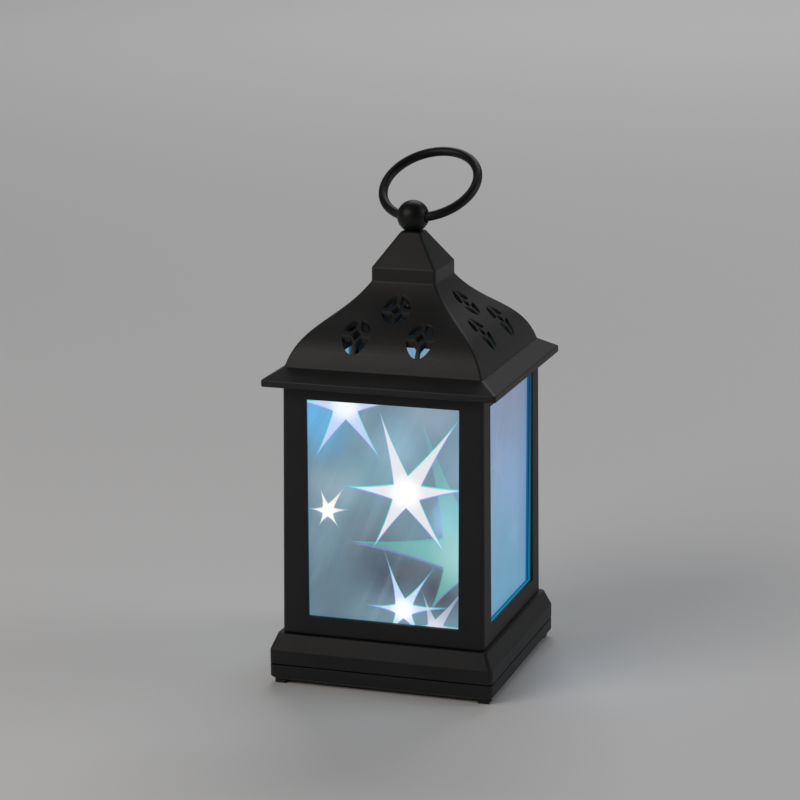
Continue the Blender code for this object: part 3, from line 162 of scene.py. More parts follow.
flat_reach = math.cos(CAMERA_RISE)
aside, ahead = math.sin(CAMERA_TURN) * flat_reach, -math.cos(CAMERA_TURN) * flat_reach
back = Vector((aside, ahead, math.sin(CAMERA_RISE)))
right = Vector((0, 0, 1)).cross(back).normalized()
up = back.cross(right)
rolled_right = right * math.cos(CAMERA_ROLL) + up * math.sin(CAMERA_ROLL)
rolled_up = up * math.cos(CAMERA_ROLL) - right * math.sin(CAMERA_ROLL)
bpy.ops.object.camera_add()
camera = bpy.context.object
camera.matrix_world = (
    Matrix.Translation(CAMERA_AIM + CAMERA_DISTANCE * back)
    @ Matrix((rolled_right, rolled_up, back)).transposed().to_4x4()
)
camera.data.lens = LENS
camera.data.sensor_width = 36
camera.data.clip_start = 0.05
scene.camera = camera

# The bottom lid. A shallow black moulding that closes the base: a chamfered foot edge, a low inner
# rim that locates it in the plinth, the battery box, four screw wells and the switch's slot.
CLEARANCE = 0.0003
LID_BOTTOM = 0.00195
LID_HEIGHT = 0.0074
LID_TOP = LID_BOTTOM + LID_HEIGHT
LID_FLOOR = 0.002
LID_FLOOR_TOP = LID_BOTTOM + LID_FLOOR
LID_CHAMFER = 0.00175
PLINTH_HALF = 0.054
PLINTH_CORNER = 0.0022
PLINTH_WALL = 0.0022
SPIGOT_HALF = PLINTH_HALF - PLINTH_WALL - CLEARANCE
SPIGOT_RISE = 0.0032
SPIGOT_WALL = 0.0016
BOX_HALF_X = 0.01695
BOX_HALF_Y = 0.02565
BOX_WALL = 0.0015
BOX_CEILING = 0.0155
DOOR_HALF_X = BOX_HALF_X + 0.0026
DOOR_HALF_Y = BOX_HALF_Y + 0.0026
DOOR_THICKNESS = 0.002
HINGE_RISE = 0.0014
HINGE_Y = DOOR_HALF_Y - HINGE_RISE
HINGE_Z = LID_BOTTOM + HINGE_RISE
HINGE_PIN_RADIUS = 0.0007
HINGE_PIN_LENGTH = 0.0018
LATCH_HALF = 0.006
LATCH_THICKNESS = 0.0012
LATCH_RISE = 0.0052
LATCH_PLAY = 0.0009
SWITCH_Y = (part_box("switch_body")[0].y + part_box("switch_body")[1].y) / 2
SWITCH_SLOT = (0.0040, 0.0016)
WELL_RADIUS = 0.0029
WELL_WALL = 0.0019
FOOT_HALF = 0.00275
FOOT_SOCKET = 0.0006
SCREW_HOLE = 0.0016
WELL_SEAT = 0.002
LEDGE_WALL = 0.0012
NOTCH_RADIUS = 0.0065
NOTCH_DEPTH = 0.0013
NOTCH_SQUASH = 0.646
CORNER_STEPS = 6
GRAIN_SIZE = 0.00035
MOTTLE_SIZE = 0.018
DUST_SIZE = 0.0011


def settle():
    """Puts the place, turn and size of the piece made last into its mesh."""
    bpy.ops.object.transform_apply(location=True, rotation=True, scale=True)
    return bpy.context.object


def block(low, high):
    """A box between two corners."""
    low, high = Vector(low), Vector(high)
    bpy.ops.mesh.primitive_cube_add(size=1, location=(low + high) / 2)
    bpy.context.object.scale = high - low
    return settle()


def slab(half_x, half_y, low, high):
    """A box about the lantern's upright axis."""
    return block((-half_x, -half_y, low), (half_x, half_y, high))


def bar(radius, start, end, sides=40, end_radius=None):
    """A round bar between two points, tapered where its end has another radius."""
    start, end = Vector(start), Vector(end)
    bpy.ops.mesh.primitive_cone_add(
        vertices=sides,
        radius1=radius,
        radius2=radius if end_radius is None else end_radius,
        depth=(end - start).length,
        location=(start + end) / 2,
        rotation=(end - start).to_track_quat("Z", "Y").to_euler(),
    )
    return settle()


def uprights(radius, places, low, high, sides=40):
    """Round bars that stand at these places."""
    return [bar(radius, (x, y, low), (x, y, high), sides) for x, y in places]


def hinge_bar(radius, half_length, sides=40):
    """A round bar along the battery door's hinge line."""
    return bar(radius, (-half_length, HINGE_Y, HINGE_Z), (half_length, HINGE_Y, HINGE_Z), sides)


def round_edges(width, steps, wanted, clamp=False):
    """Rounds the edges of the active piece whose two ends are wanted."""
    bpy.ops.object.mode_set(mode="EDIT")
    bpy.ops.mesh.select_mode(type="EDGE")
    mesh = bmesh.from_edit_mesh(bpy.context.object.data)
    for edge in mesh.edges:
        edge.select_set(False)
    for edge in mesh.edges:
        if wanted(edge.verts[0].co, edge.verts[1].co):
            edge.select_set(True)
    bmesh.update_edit_mesh(bpy.context.object.data)
    bpy.ops.mesh.bevel(offset=width, segments=steps, affect="EDGES", clamp_overlap=clamp)
    end_edit()


def tower(levels, corner):
    """A square tower through (half width, height) levels, with its four upright edges rounded."""
    half, height = levels[0]
    bpy.ops.mesh.primitive_plane_add(size=2 * half, location=(0, 0, height))
    settle()
    edit("FACE")
    for next_half, next_height in levels[1:]:
        bpy.ops.mesh.extrude_region_move(TRANSFORM_OT_translate={"value": (0, 0, next_height - height)})
        grow = next_half / half
        bpy.ops.transform.resize(value=(grow, grow, 1), center_override=(0, 0, 0))
        half, height = next_half, next_height
    face_outwards()
    round_edges(corner, CORNER_STEPS, lambda a, b: a.x * b.x > 0 and a.y * b.y > 0, clamp=True)
    return bpy.context.object


def choose(*pieces):
    """Selects these pieces alone, the first as the active one."""
    bpy.ops.object.select_all(action="DESELECT")
    for piece in pieces:
        piece.select_set(True)
    bpy.context.view_layer.objects.active = pieces[0]


def join(*pieces):
    """Makes one piece of several, under the first one's name."""
    choose(*pieces)
    if len(pieces) > 1:
        bpy.ops.object.join()
    return pieces[0]


def drop_piece(piece):
    bpy.data.objects.remove(piece, do_unlink=True)


def shape(piece, operation, tools):
    """Joins the tools to one and cuts it out of the piece, or welds it on."""
    tool = join(*tools)
    step = piece.modifiers.new("Shape", "BOOLEAN")
    step.operation = operation
    step.solver = "EXACT"
    step.object = tool
    bpy.context.view_layer.objects.active = piece
    bpy.ops.object.modifier_apply(modifier=step.name)
    drop_piece(tool)


def carve(piece, *tools):
    shape(piece, "DIFFERENCE", tools)


def weld(piece, *tools):
    shape(piece, "UNION", tools)


def soften(piece, width, segments=2, angle=30):
    """Rounds every edge sharper than the angle."""
    choose(piece)
    edit()
    bpy.ops.mesh.remove_doubles(threshold=width / 8)
    bpy.ops.mesh.dissolve_limited(angle_limit=math.radians(0.2))
    end_edit()
    step = piece.modifiers.new("Edges", "BEVEL")
    step.width = width
    step.segments = segments
    step.limit_method = "ANGLE"
    step.angle_limit = math.radians(angle)
    step.loop_slide = False
    step.use_clamp_overlap = False
    bpy.ops.object.modifier_apply(modifier=step.name)


def corners(x, y):
    return [(sx * x, sy * y) for sx, sy in ((1, 1), (-1, 1), (-1, -1), (1, -1))]


def finish(piece, name, coat, *nodes, body="lantern", slot=None, angle=35):
    """Shades the piece, gives it its coat and fixes it to its body in place of its CAD nodes. Its slot
    argument is not used."""
    choose(piece)
    if piece.type == "MESH":
        bpy.ops.object.shade_smooth_by_angle(angle=math.radians(angle))
        even = piece.modifiers.new("Even", "WEIGHTED_NORMAL")
        even.keep_sharp = True
        bpy.ops.object.modifier_apply(modifier=even.name)
    piece.name = name
    piece.data.name = name
    piece.data.materials.clear()
    piece.data.materials.append(coat)
    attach(piece, body)
    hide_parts(*nodes)


def new_group(name, inputs, outputs):
    """An empty shader node group with named sockets, and its input and output nodes."""
    group = bpy.data.node_groups.new(name, "ShaderNodeTree")
    for socket, kind in inputs:
        group.interface.new_socket(socket, in_out="INPUT", socket_type=kind)
    for socket, kind in outputs:
        group.interface.new_socket(socket, in_out="OUTPUT", socket_type=kind)
    return group, group.nodes.new("NodeGroupInput").outputs, group.nodes.new("NodeGroupOutput")


def maths(tree, operation, *values):
    return put(tree, "ShaderNodeMath", enumerate(values), operation=operation).outputs[0]


def ramp(tree, value, low, high, to_low=0.0, to_high=1.0):
    """A smooth step of a value from one range to another."""
    inputs = {"Value": value, "From Min": low, "From Max": high, "To Min": to_low, "To Max": to_high}
    made = put(tree, "ShaderNodeMapRange", inputs, interpolation_type="SMOOTHSTEP")
    return made.outputs["Result"]


def blend(tree, mask, under, over, mode="MIX"):
    """Mixes two colours by a mask. A colour is a socket or three numbers."""
    inputs = {0: mask}
    for key, colour in ((6, under), (7, over)):
        inputs[key] = colour if isinstance(colour, bpy.types.NodeSocket) else (*colour, 1)
    return put(tree, "ShaderNodeMix", inputs, data_type="RGBA", blend_type=mode).outputs[2]


def noise(tree, place, scale, detail, roughness=0.5, output="Fac"):
    inputs = {"Vector": place, "Scale": scale, "Detail": detail, "Roughness": roughness}
    return put(tree, "ShaderNodeTexNoise", inputs).outputs[output]


def object_place(tree):
    return put(tree, "ShaderNodeTexCoord").outputs["Object"]


def emboss(tree, shader, height, strength, distance):
    """Raises the surface a little by a height."""
    bump = put(tree, "ShaderNodeBump", {"Height": height, "Strength": strength, "Distance": distance})
    feed(shader, "Normal", bump.outputs["Normal"])


# Spark-eroded mould grain, the faint mottling of the moulding and a little settled dust
moulded_surface, given, out = new_group(
    "moulded_surface",
    [("Place", "NodeSocketVector"), ("Grain Size", "NodeSocketFloat")],
    [("Grain", "NodeSocketFloat"), ("Mottle", "NodeSocketFloat"), ("Dust", "NodeSocketFloat")],
)
grain_scale = maths(moulded_surface, "DIVIDE", 1.0, given["Grain Size"])
grain = noise(moulded_surface, given["Place"], grain_scale, 3.0, 0.6)
mottle = noise(moulded_surface, given["Place"], 1 / MOTTLE_SIZE, 4.0, 0.55)
specks = put(
    moulded_surface,
    "ShaderNodeTexVoronoi",
    {"Vector": given["Place"], "Scale": 1 / DUST_SIZE, "Randomness": 1.0},
)
speck_size = ramp(moulded_surface, specks.outputs["Distance"], 0.10, 0.02)
rare = put(moulded_surface, "ShaderNodeSeparateColor", {"Color": specks.outputs["Color"]})
chosen = ramp(moulded_surface, rare.outputs[0], 0.90, 0.97)
feed(out, "Grain", grain)
feed(out, "Mottle", mottle)
feed(out, "Dust", maths(moulded_surface, "MULTIPLY", speck_size, chosen))


def moulded_plastic(
    name, dark, light, rough, shine=0.5, grain_depth=0.00003, dust=0.25, grain_size=GRAIN_SIZE
):
    """Moulded plastic between two shades, with a painted highlight on its edges, which are a little smoother
    too, mould grain and a few dust specks.
    """
    coat, tree, shader = new_coat(name)
    place = object_place(tree)
    edge = ramp(tree, put(tree, "ShaderNodeNewGeometry").outputs["Pointiness"], 0.51, 0.62)
    sockets = {"Place": place, "Grain Size": grain_size}
    surface = put(tree, "ShaderNodeGroup", sockets, node_tree=moulded_surface)
    mottle = ramp(tree, surface.outputs["Mottle"], 0.35, 0.65)
    colour = blend(tree, mottle, dark, light)
    # The edges are painted lighter, a painted highlight where they would catch the light.
    edge_highlight = tuple(min(1.0, 1.7 * c + 0.004) for c in light)
    colour = blend(tree, maths(tree, "MULTIPLY", edge, 0.6), colour, edge_highlight)
    colour = blend(tree, maths(tree, "MULTIPLY", surface.outputs["Dust"], dust), colour, (0.35, 0.35, 0.36))
    feed(shader, "Base Color", colour)
    low, high = rough
    roughness = ramp(tree, surface.outputs["Grain"], 0.3, 0.7, low, high)
    roughness = maths(tree, "SUBTRACT", roughness, maths(tree, "MULTIPLY", edge, 0.08))
    feed(shader, "Roughness", roughness)
    feed(shader, "Specular IOR Level", shine)
    emboss(tree, shader, surface.outputs["Grain"], 0.6, grain_depth)
    return coat


black_plastic = moulded_plastic(
    "black_plastic", (0.0044, 0.0043, 0.0047), (0.0068, 0.0064, 0.0067), (0.50, 0.64), 0.42
)
LID_SCREWS = corners(0.0405, 0.030)
FOOT_PLACES = corners(0.04925, 0.04925)
chamfer_half, chamfer_top = PLINTH_HALF - LID_CHAMFER, LID_BOTTOM + LID_CHAMFER
levels = [(chamfer_half, LID_BOTTOM), (PLINTH_HALF, chamfer_top), (PLINTH_HALF, LID_TOP)]
lid = tower(levels, PLINTH_CORNER)
weld(lid, tower([(SPIGOT_HALF, LID_FLOOR_TOP), (SPIGOT_HALF, LID_TOP + SPIGOT_RISE)], PLINTH_CORNER / 2))
hollow = SPIGOT_HALF - SPIGOT_WALL
carve(lid, slab(hollow, hollow, LID_FLOOR_TOP, LID_TOP + 2 * SPIGOT_RISE))
root = LID_BOTTOM + LID_FLOOR / 2
box_x, box_y = BOX_HALF_X + BOX_WALL, BOX_HALF_Y + BOX_WALL
weld(lid, slab(box_x, box_y, root, BOX_CEILING + BOX_WALL))
wells = uprights(WELL_RADIUS + WELL_WALL, LID_SCREWS, root, LID_TOP - CLEARANCE)
weld(lid, *wells)
ledge_x, ledge_y = DOOR_HALF_X + CLEARANCE + BOX_WALL, DOOR_HALF_Y + CLEARANCE + BOX_WALL
weld(lid, slab(ledge_x, ledge_y, root, LID_BOTTOM + DOOR_THICKNESS + CLEARANCE + LEDGE_WALL))
cheek = DOOR_HALF_X + HINGE_PIN_LENGTH + CLEARANCE + BOX_WALL
reach = HINGE_RISE + CLEARANCE
weld(lid, block((-cheek, HINGE_Y - 2 * reach, root),
                (cheek, HINGE_Y + reach + BOX_WALL, HINGE_Z + HINGE_PIN_RADIUS + CLEARANCE + BOX_WALL)))
latch_half = LATCH_HALF + LATCH_PLAY
latch_front = -DOOR_HALF_Y - LATCH_PLAY
latch_back = -DOOR_HALF_Y + LATCH_THICKNESS + LATCH_PLAY
latch_top = LID_BOTTOM + DOOR_THICKNESS + LATCH_RISE + LATCH_PLAY
weld(lid, block((-latch_half - BOX_WALL, latch_front - BOX_WALL, root),
                (latch_half + BOX_WALL, latch_back, latch_top + BOX_WALL)))
carve(lid, slab(BOX_HALF_X, BOX_HALF_Y, LID_BOTTOM, BOX_CEILING))
edge_x, edge_y = DOOR_HALF_X + CLEARANCE, DOOR_HALF_Y + CLEARANCE
carve(lid, slab(edge_x, edge_y, LID_BOTTOM - CLEARANCE, LID_BOTTOM + DOOR_THICKNESS + CLEARANCE))
carve(lid, hinge_bar(reach, edge_x))
pin_end = DOOR_HALF_X + HINGE_PIN_LENGTH + CLEARANCE
carve(lid, hinge_bar(HINGE_PIN_RADIUS + CLEARANCE, pin_end, 20))
carve(lid, block((-latch_half, latch_front, LID_BOTTOM), (latch_half, latch_back, latch_top)))
sockets = [
    block((x - FOOT_HALF - CLEARANCE, y - FOOT_HALF - CLEARANCE, LID_BOTTOM - CLEARANCE),
          (x + FOOT_HALF + CLEARANCE, y + FOOT_HALF + CLEARANCE, LID_BOTTOM + FOOT_SOCKET))
    for x, y in FOOT_PLACES
]
seat = LID_FLOOR_TOP + WELL_SEAT
wells = uprights(WELL_RADIUS, LID_SCREWS, LID_BOTTOM - CLEARANCE, seat)
slot_x, slot_y = SWITCH_SLOT
slot = block((-slot_x, SWITCH_Y - slot_y, LID_BOTTOM - CLEARANCE),
             (slot_x, SWITCH_Y + slot_y, LID_FLOOR_TOP + CLEARANCE))
carve(lid, *sockets, *wells, slot)
holes = uprights(SCREW_HOLE, LID_SCREWS, LID_BOTTOM, LID_TOP + CLEARANCE, 24)
(notch,) = uprights(NOTCH_RADIUS, [(0, -DOOR_HALF_Y)], LID_BOTTOM - CLEARANCE, LID_BOTTOM + NOTCH_DEPTH)
squash = Matrix.Diagonal((1, NOTCH_SQUASH, 1, 1))
notch.data.transform(Matrix.Translation((0, -DOOR_HALF_Y * (1 - NOTCH_SQUASH), 0)) @ squash)
carve(lid, *holes, notch)
soften(lid, 0.00022)
finish(lid, "lid", black_plastic, "bottom_lid")

# The feet. Four small square rubber pads, pressed into shallow sockets under the lid's corners.
# Their edges are slightly rounded.
rubber = moulded_plastic(
    "foot_rubber", (0.006, 0.006, 0.0065), (0.011, 0.0105, 0.0105), (0.72, 0.9), 0.3, 0.00004, 0.5
)
SPOTS = ("back_right", "back_left", "front_left", "front_right")
foot_top = LID_BOTTOM + FOOT_SOCKET - CLEARANCE
for spot, (x, y) in zip(SPOTS, FOOT_PLACES):
    foot = block((x - FOOT_HALF, y - FOOT_HALF, 0), (x + FOOT_HALF, y + FOOT_HALF, foot_top))
    soften(foot, 0.0005, 3)
    finish(foot, f"foot_pad_{spot}", rubber, f"foot_{spot}")

# The battery door. A flat plate with a round hinge barrel and two stub pins along its back edge,
# and a latch tongue at its front. It clips into the lid and hinges down.
door = block((-DOOR_HALF_X, -DOOR_HALF_Y, LID_BOTTOM), (DOOR_HALF_X, HINGE_Y, LID_BOTTOM + DOOR_THICKNESS))
weld(door, hinge_bar(HINGE_RISE, DOOR_HALF_X))
pin_end = DOOR_HALF_X + HINGE_PIN_LENGTH
weld(door, hinge_bar(HINGE_PIN_RADIUS, pin_end, 24))
weld(door, block((-LATCH_HALF, -DOOR_HALF_Y, LID_BOTTOM + DOOR_THICKNESS / 2),
                 (LATCH_HALF, -DOOR_HALF_Y + LATCH_THICKNESS, LID_BOTTOM + DOOR_THICKNESS + LATCH_RISE)))
soften(door, 0.0002)
finish(door, "door", black_plastic, "battery_door", body="battery_door")

# The cells. Three AAA cells side by side, turned end for end, each a steel can in a shrunk printed
# sleeve with a bare nub at its positive end.
CELL_RADIUS = 0.00525
CELL_LENGTH = 0.0436
CELL_PITCH = 0.0111
NUB_RADIUS = 0.0019
NUB_LENGTH = 0.0009
CELL_PLAY = 0.00045
CELL_Z = LID_BOTTOM + DOOR_THICKNESS + CELL_PLAY + CELL_RADIUS
STRIP = 0.0005
BUMP_RISE = 0.0006
CELL_NUB_END = BOX_HALF_Y - 2 * CLEARANCE - STRIP - BUMP_RISE

def rod(radius, low, high, sides=40, end_radius=None):
    """A round bar on the lantern's upright axis."""
    return bar(radius, (0, 0, low), (0, 0, high), sides, end_radius)


def twin(piece, place=Matrix.Identity(4)):
    """A copy of a piece with a mesh of its own, moved by the matrix."""
    copy = piece.copy()
    copy.data = piece.data.copy()
    bpy.context.scene.collection.objects.link(copy)
    copy.data.transform(place)
    return copy


sleeve, tree, shader = new_coat("cell_jacket")
place = object_place(tree)
along = put(tree, "ShaderNodeSeparateXYZ", {"Vector": place}).outputs["Y"]
band = maths(tree, "PINGPONG", maths(tree, "ADD", along, 0.0004), 0.0108)
shrink = noise(tree, place, 420.0, 3.0)
printed = blend(tree, ramp(tree, band, 0.0088, 0.0090), (0.045, 0.075, 0.11), (0.42, 0.40, 0.36))
printed = blend(tree, ramp(tree, shrink, 0.45, 0.75, 0, 0.3), printed, (0.10, 0.13, 0.16))
feed(shader, "Base Color", printed)
feed(shader, "Metallic", 0.35)
feed(shader, "Roughness", ramp(tree, shrink, 0.3, 0.7, 0.24, 0.42))
emboss(tree, shader, shrink, 0.3, 0.00006)
cell = rod(CELL_RADIUS, 0, CELL_LENGTH, 48)
edit("FACE", "DESELECT")
mesh = bmesh.from_edit_mesh(cell.data)
for face in mesh.faces:
    if face.normal.z > 0.9:
        face.select_set(True)
bmesh.update_edit_mesh(cell.data)
bpy.ops.mesh.inset(thickness=CELL_RADIUS - NUB_RADIUS, depth=0)
bpy.ops.mesh.extrude_region_move(TRANSFORM_OT_translate={"value": (0, 0, NUB_LENGTH)})
end_edit()
soften(cell, 0.0004, 3)
for number in range(3):
    side = 1 if number % 2 == 0 else -1
    place = Vector(((number - 1) * CELL_PITCH, side * (CELL_NUB_END - CELL_LENGTH - NUB_LENGTH), CELL_Z))
    laid = twin(cell, Matrix.Translation(place) @ Matrix.Rotation(-side * math.pi / 2, 4, "X"))
    finish(laid, f"battery_{number + 1}", sleeve, f"cell_{number + 1}")
drop_piece(cell)

# The contacts. Nickel-plated strips on the battery box's end walls, with a pressed bump for each
# nub and a conical spring for each flat end. The wide strips link one cell to the next.
STRIP_HALF_HEIGHT = 0.0044
STRIP_REACH = CELL_RADIUS - 2 * CLEARANCE
BUMP_RADIUS = 0.0018
SPRING_LENGTH = 0.0046
SPRING_WIRE = 0.0004
SPRING_WIDE = 0.0032
SPRING_NARROW = 0.0014
SPRING_TURNS = 3.5
TURN_STEPS = 24


def clouded_coat(name, scale, detail, dark, light, rough, span=None, **inputs):
    """A coat clouded between two colours, the rougher where it is lighter. Without a span the
    cloud itself is the mask. Returns the coat, its node tree, its shader and the cloud."""
    coat, tree, shader = new_coat(name)
    cloud = noise(tree, object_place(tree), scale, detail)
    mask = ramp(tree, cloud, *span) if span else cloud
    feed(shader, "Base Color", blend(tree, mask, dark, light))
    feed(shader, "Roughness", ramp(tree, cloud, 0.3, 0.7, *rough))
    for key, value in inputs.items():
        feed(shader, key.replace("_", " "), value)
    return coat, tree, shader, cloud


def plated_steel(name, tint, rough, streak):
    """Plated steel with a faint grain, cloudy patches and duller spots."""
    dull = tuple(0.72 * c for c in tint)
    coat, tree, shader, _ = clouded_coat(name, 260.0, 4.0, tint, dull, rough, (0.4, 0.7), Metallic=1.0)
    emboss(tree, shader, noise(tree, object_place(tree), streak, 2.0), 0.2, 0.00003)
    return coat


def round_wire(name, route, radius, sides=3):
    """A round wire through the points of a route, with closed ends, made a mesh."""
    curve = bpy.data.curves.new(name, "CURVE")
    curve.dimensions = "3D"
    curve.bevel_depth = radius
    curve.bevel_resolution = sides
    curve.use_fill_caps = True
    line = curve.splines.new("POLY")
    line.points.add(len(route) - 1)
    for point, place in zip(line.points, route):
        point.co = (*place, 1)
    made = bpy.data.objects.new(name, curve)
    bpy.context.scene.collection.objects.link(made)
    choose(made)
    bpy.ops.object.convert(target="MESH")
    return bpy.context.object


contact_steel = plated_steel("contact_steel", (0.66, 0.63, 0.58), (0.22, 0.38), 2400.0)
for side, end in ((1, "back"), (-1, "front")):
    groups = ((0,), (1, 2)) if side > 0 else ((0, 1), (2,))
    for group in groups:
        middles = [(number - 1) * CELL_PITCH for number in group]
        wall = side * (BOX_HALF_Y - CLEARANCE)
        face = wall - side * STRIP
        near, far = sorted((wall, face))
        strip = block((middles[0] - STRIP_REACH, near, CELL_Z - STRIP_HALF_HEIGHT),
                      (middles[-1] + STRIP_REACH, far, CELL_Z + STRIP_HALF_HEIGHT))
        soften(strip, 0.00012)
        for number, x in zip(group, middles):
            if (number % 2 == 0) == (side > 0):
                root, tip = (x, face + side * STRIP / 2, CELL_Z), (x, face - side * BUMP_RISE, CELL_Z)
                weld(strip, bar(BUMP_RADIUS + BUMP_RISE, root, tip, 32, BUMP_RADIUS))
                continue
            coil = []
            for step in range(int(SPRING_TURNS * TURN_STEPS) + 1):
                share = step / (SPRING_TURNS * TURN_STEPS)
                radius = SPRING_WIDE + (SPRING_NARROW - SPRING_WIDE) * share
                turn = 2 * math.pi * SPRING_TURNS * share
                y = face - side * (SPRING_WIRE + share * (SPRING_LENGTH - 2 * SPRING_WIRE - CLEARANCE))
                coil.append((x + radius * math.cos(turn), y, CELL_Z + radius * math.sin(turn)))
            spring = round_wire("spring", coil, SPRING_WIRE)
            join(strip, spring)
        name = f"{end}_" + "_".join(str(number + 1) for number in group)
        finish(strip, f"strip_{name}", contact_steel, f"contact_{name}")

# The slide switch. A folded steel can on the board's underside, and the black ribbed knob on its
# stem that shows in the lid's slot.
can_low, can_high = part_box("switch_body")
knob_low, knob_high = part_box("switch_knob")
STEM_HALF = (0.0008, 0.0006)
CAN_SLOT = (0.0031, 0.0015)
GROOVE_HALF = 0.0002
GROOVE_DEPTH = 0.00035
PAST = 0.001
KNOB_TOP = LID_FLOOR_TOP + 0.0009
zinc_steel = plated_steel("zinc_steel", (0.58, 0.59, 0.60), (0.26, 0.44), 2000.0)
can = block(can_low, can_high)
stem_x, stem_y = STEM_HALF
slot_x, slot_depth = CAN_SLOT
carve(can, block((-slot_x, SWITCH_Y - stem_y - CLEARANCE, can_low.z - CLEARANCE),
                 (slot_x, SWITCH_Y + stem_y + CLEARANCE, can_low.z + slot_depth)))
soften(can, 0.00025, 3)
finish(can, "switch_can", zinc_steel, "switch_body")
knob = block(knob_low, (knob_high.x, knob_high.y, KNOB_TOP))
weld(knob, block((-stem_x, SWITCH_Y - stem_y, KNOB_TOP - CLEARANCE),
                 (stem_x, SWITCH_Y + stem_y, knob_high.z)))
grooves = []
for number in (-1, 0, 1):
    x = number * (knob_high.x - knob_low.x) / 4
    grooves.append(block((x - GROOVE_HALF, knob_low.y - PAST, knob_low.z - PAST),
                         (x + GROOVE_HALF, knob_high.y + PAST, knob_low.z + GROOVE_DEPTH)))
carve(knob, *grooves)
soften(knob, 0.0001)
finish(knob, "knob", black_plastic, "switch_knob", body="switch_knob")

# The control board. A green glass-fibre board over the switch, screwed to two posts of the lid. It
# carries a timer chip, a resistor and the solder joints of the leads and the string.
board_low, board_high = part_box("control_board")
BOARD_SCREW_X = 0.0125
BOARD_HOLE = 0.0012
JOINT_RADIUS = 0.0009
# The solder joints of the leads and the string, across and along from the switch
JOINTS = ((-0.0045, -0.0045), (-0.0065, -0.0045), (0.0025, 0.0045), (-0.0025, 0.0045))
CHIP_DOT = 0.0004
LEG_PITCH = 0.00127
LEG_HALF = 0.0002
LEG_INNER = 0.0015
LEG_OUTER = 0.0020
LEG_HEIGHT = 0.0006
board_green, tree, shader = new_coat("board")
place = object_place(tree)
pattern = {"Vector": place, "Scale": 260.0, "Mortar Size": 0.012, "Bias": 0.0}
greens = {"Color1": (0.012, 0.10, 0.045, 1), "Color2": (0.015, 0.12, 0.05, 1)}
tracks = put(tree, "ShaderNodeTexBrick", {**pattern, **greens, "Mortar": (0.03, 0.19, 0.08, 1)})
weave = noise(tree, place, 1500.0, 2.0)
shade = blend(tree, ramp(tree, weave, 0.3, 0.8, 0, 0.35), tracks.outputs["Color"], (0.02, 0.07, 0.04))
feed(shader, "Base Color", shade)
feed(shader, "Roughness", ramp(tree, weave, 0.3, 0.7, 0.28, 0.46))
emboss(tree, shader, weave, 0.25, 0.00003)
board = block(board_low, board_high)
board_screws = [(-BOARD_SCREW_X, SWITCH_Y), (BOARD_SCREW_X, SWITCH_Y)]
carve(board, *uprights(BOARD_HOLE, board_screws, board_low.z - PAST, board_high.z + PAST, 24))
soften(board, 0.00012)
resistor = block((0.0048, SWITCH_Y - 0.0042, board_high.z - 0.0001),
                 (0.0068, SWITCH_Y - 0.0030, board_high.z + 0.0006))
soften(resistor, 0.00012)
joints = []
for x, y in JOINTS:
    bpy.ops.mesh.primitive_uv_sphere_add(segments=20, ring_count=12, radius=JOINT_RADIUS,
                                         location=(x, SWITCH_Y + y, board_high.z), scale=(1, 1, 0.6))
    joints.append(settle())
finish(join(resistor, *joints), "board_fittings", zinc_steel)
finish(board, "board", board_green, "control_board")
chip_low, chip_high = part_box("timer_chip")
chip_black = moulded_plastic(
    "chip", (0.016, 0.016, 0.017), (0.026, 0.026, 0.027), (0.35, 0.5), 0.5, 0.00002
)
chip = block((chip_low.x, chip_low.y + 0.0005, chip_low.z + 0.0002),
             (chip_high.x, chip_high.y - 0.0005, chip_high.z))
dot = [(chip_low.x + 2 * CHIP_DOT, SWITCH_Y + 0.0009)]
carve(chip, *uprights(CHIP_DOT, dot, chip_high.z - 0.0001, chip_high.z + PAST, 20))
soften(chip, 0.00012)
finish(chip, "chip_case", chip_black, "timer_chip")
legs = []
for side in (-1, 1):
    for number in range(4):
        x = (number - 1.5) * LEG_PITCH
        low_y, high_y = sorted((SWITCH_Y + side * LEG_INNER, SWITCH_Y + side * LEG_OUTER))
        legs.append(block((x - LEG_HALF, low_y, chip_low.z), (x + LEG_HALF, high_y, chip_low.z + LEG_HEIGHT)))
join(*legs)
soften(legs[0], 0.00006)
finish(legs[0], "chip_legs", zinc_steel)

# The battery leads. A red and a black stranded lead with PVC insulation, from the outer contacts
# over the battery box to the board.
LEAD_RADIUS = 0.0006
LEAD_SLACK = 0.002
LEAD_RISE = 0.0035


def smooth_route(points, steps):
    """A Catmull-Rom curve through the points, with that many steps between each pair."""
    points = [Vector(point) for point in points]
    padded = [2 * points[0] - points[1], *points, 2 * points[-1] - points[-2]]
    route = []
    for a, b, c, d in zip(padded, padded[1:], padded[2:], padded[3:]):
        for step in range(steps):
            t = step / steps
            bend = (2 * a - 5 * b + 4 * c - d) * t * t + (3 * b - a - 3 * c + d) * t**3
            route.append(0.5 * (2 * b + (c - a) * t + bend))
    return [*route, points[-1]]


def insulation(name, colour, faded):
    """Soft PVC insulation, a little chalky in clouds."""
    coat, tree, shader, chalk = clouded_coat(name, 700.0, 3.0, colour, faded, (0.38, 0.55), (0.4, 0.75))
    emboss(tree, shader, chalk, 0.2, 0.00004)
    return coat


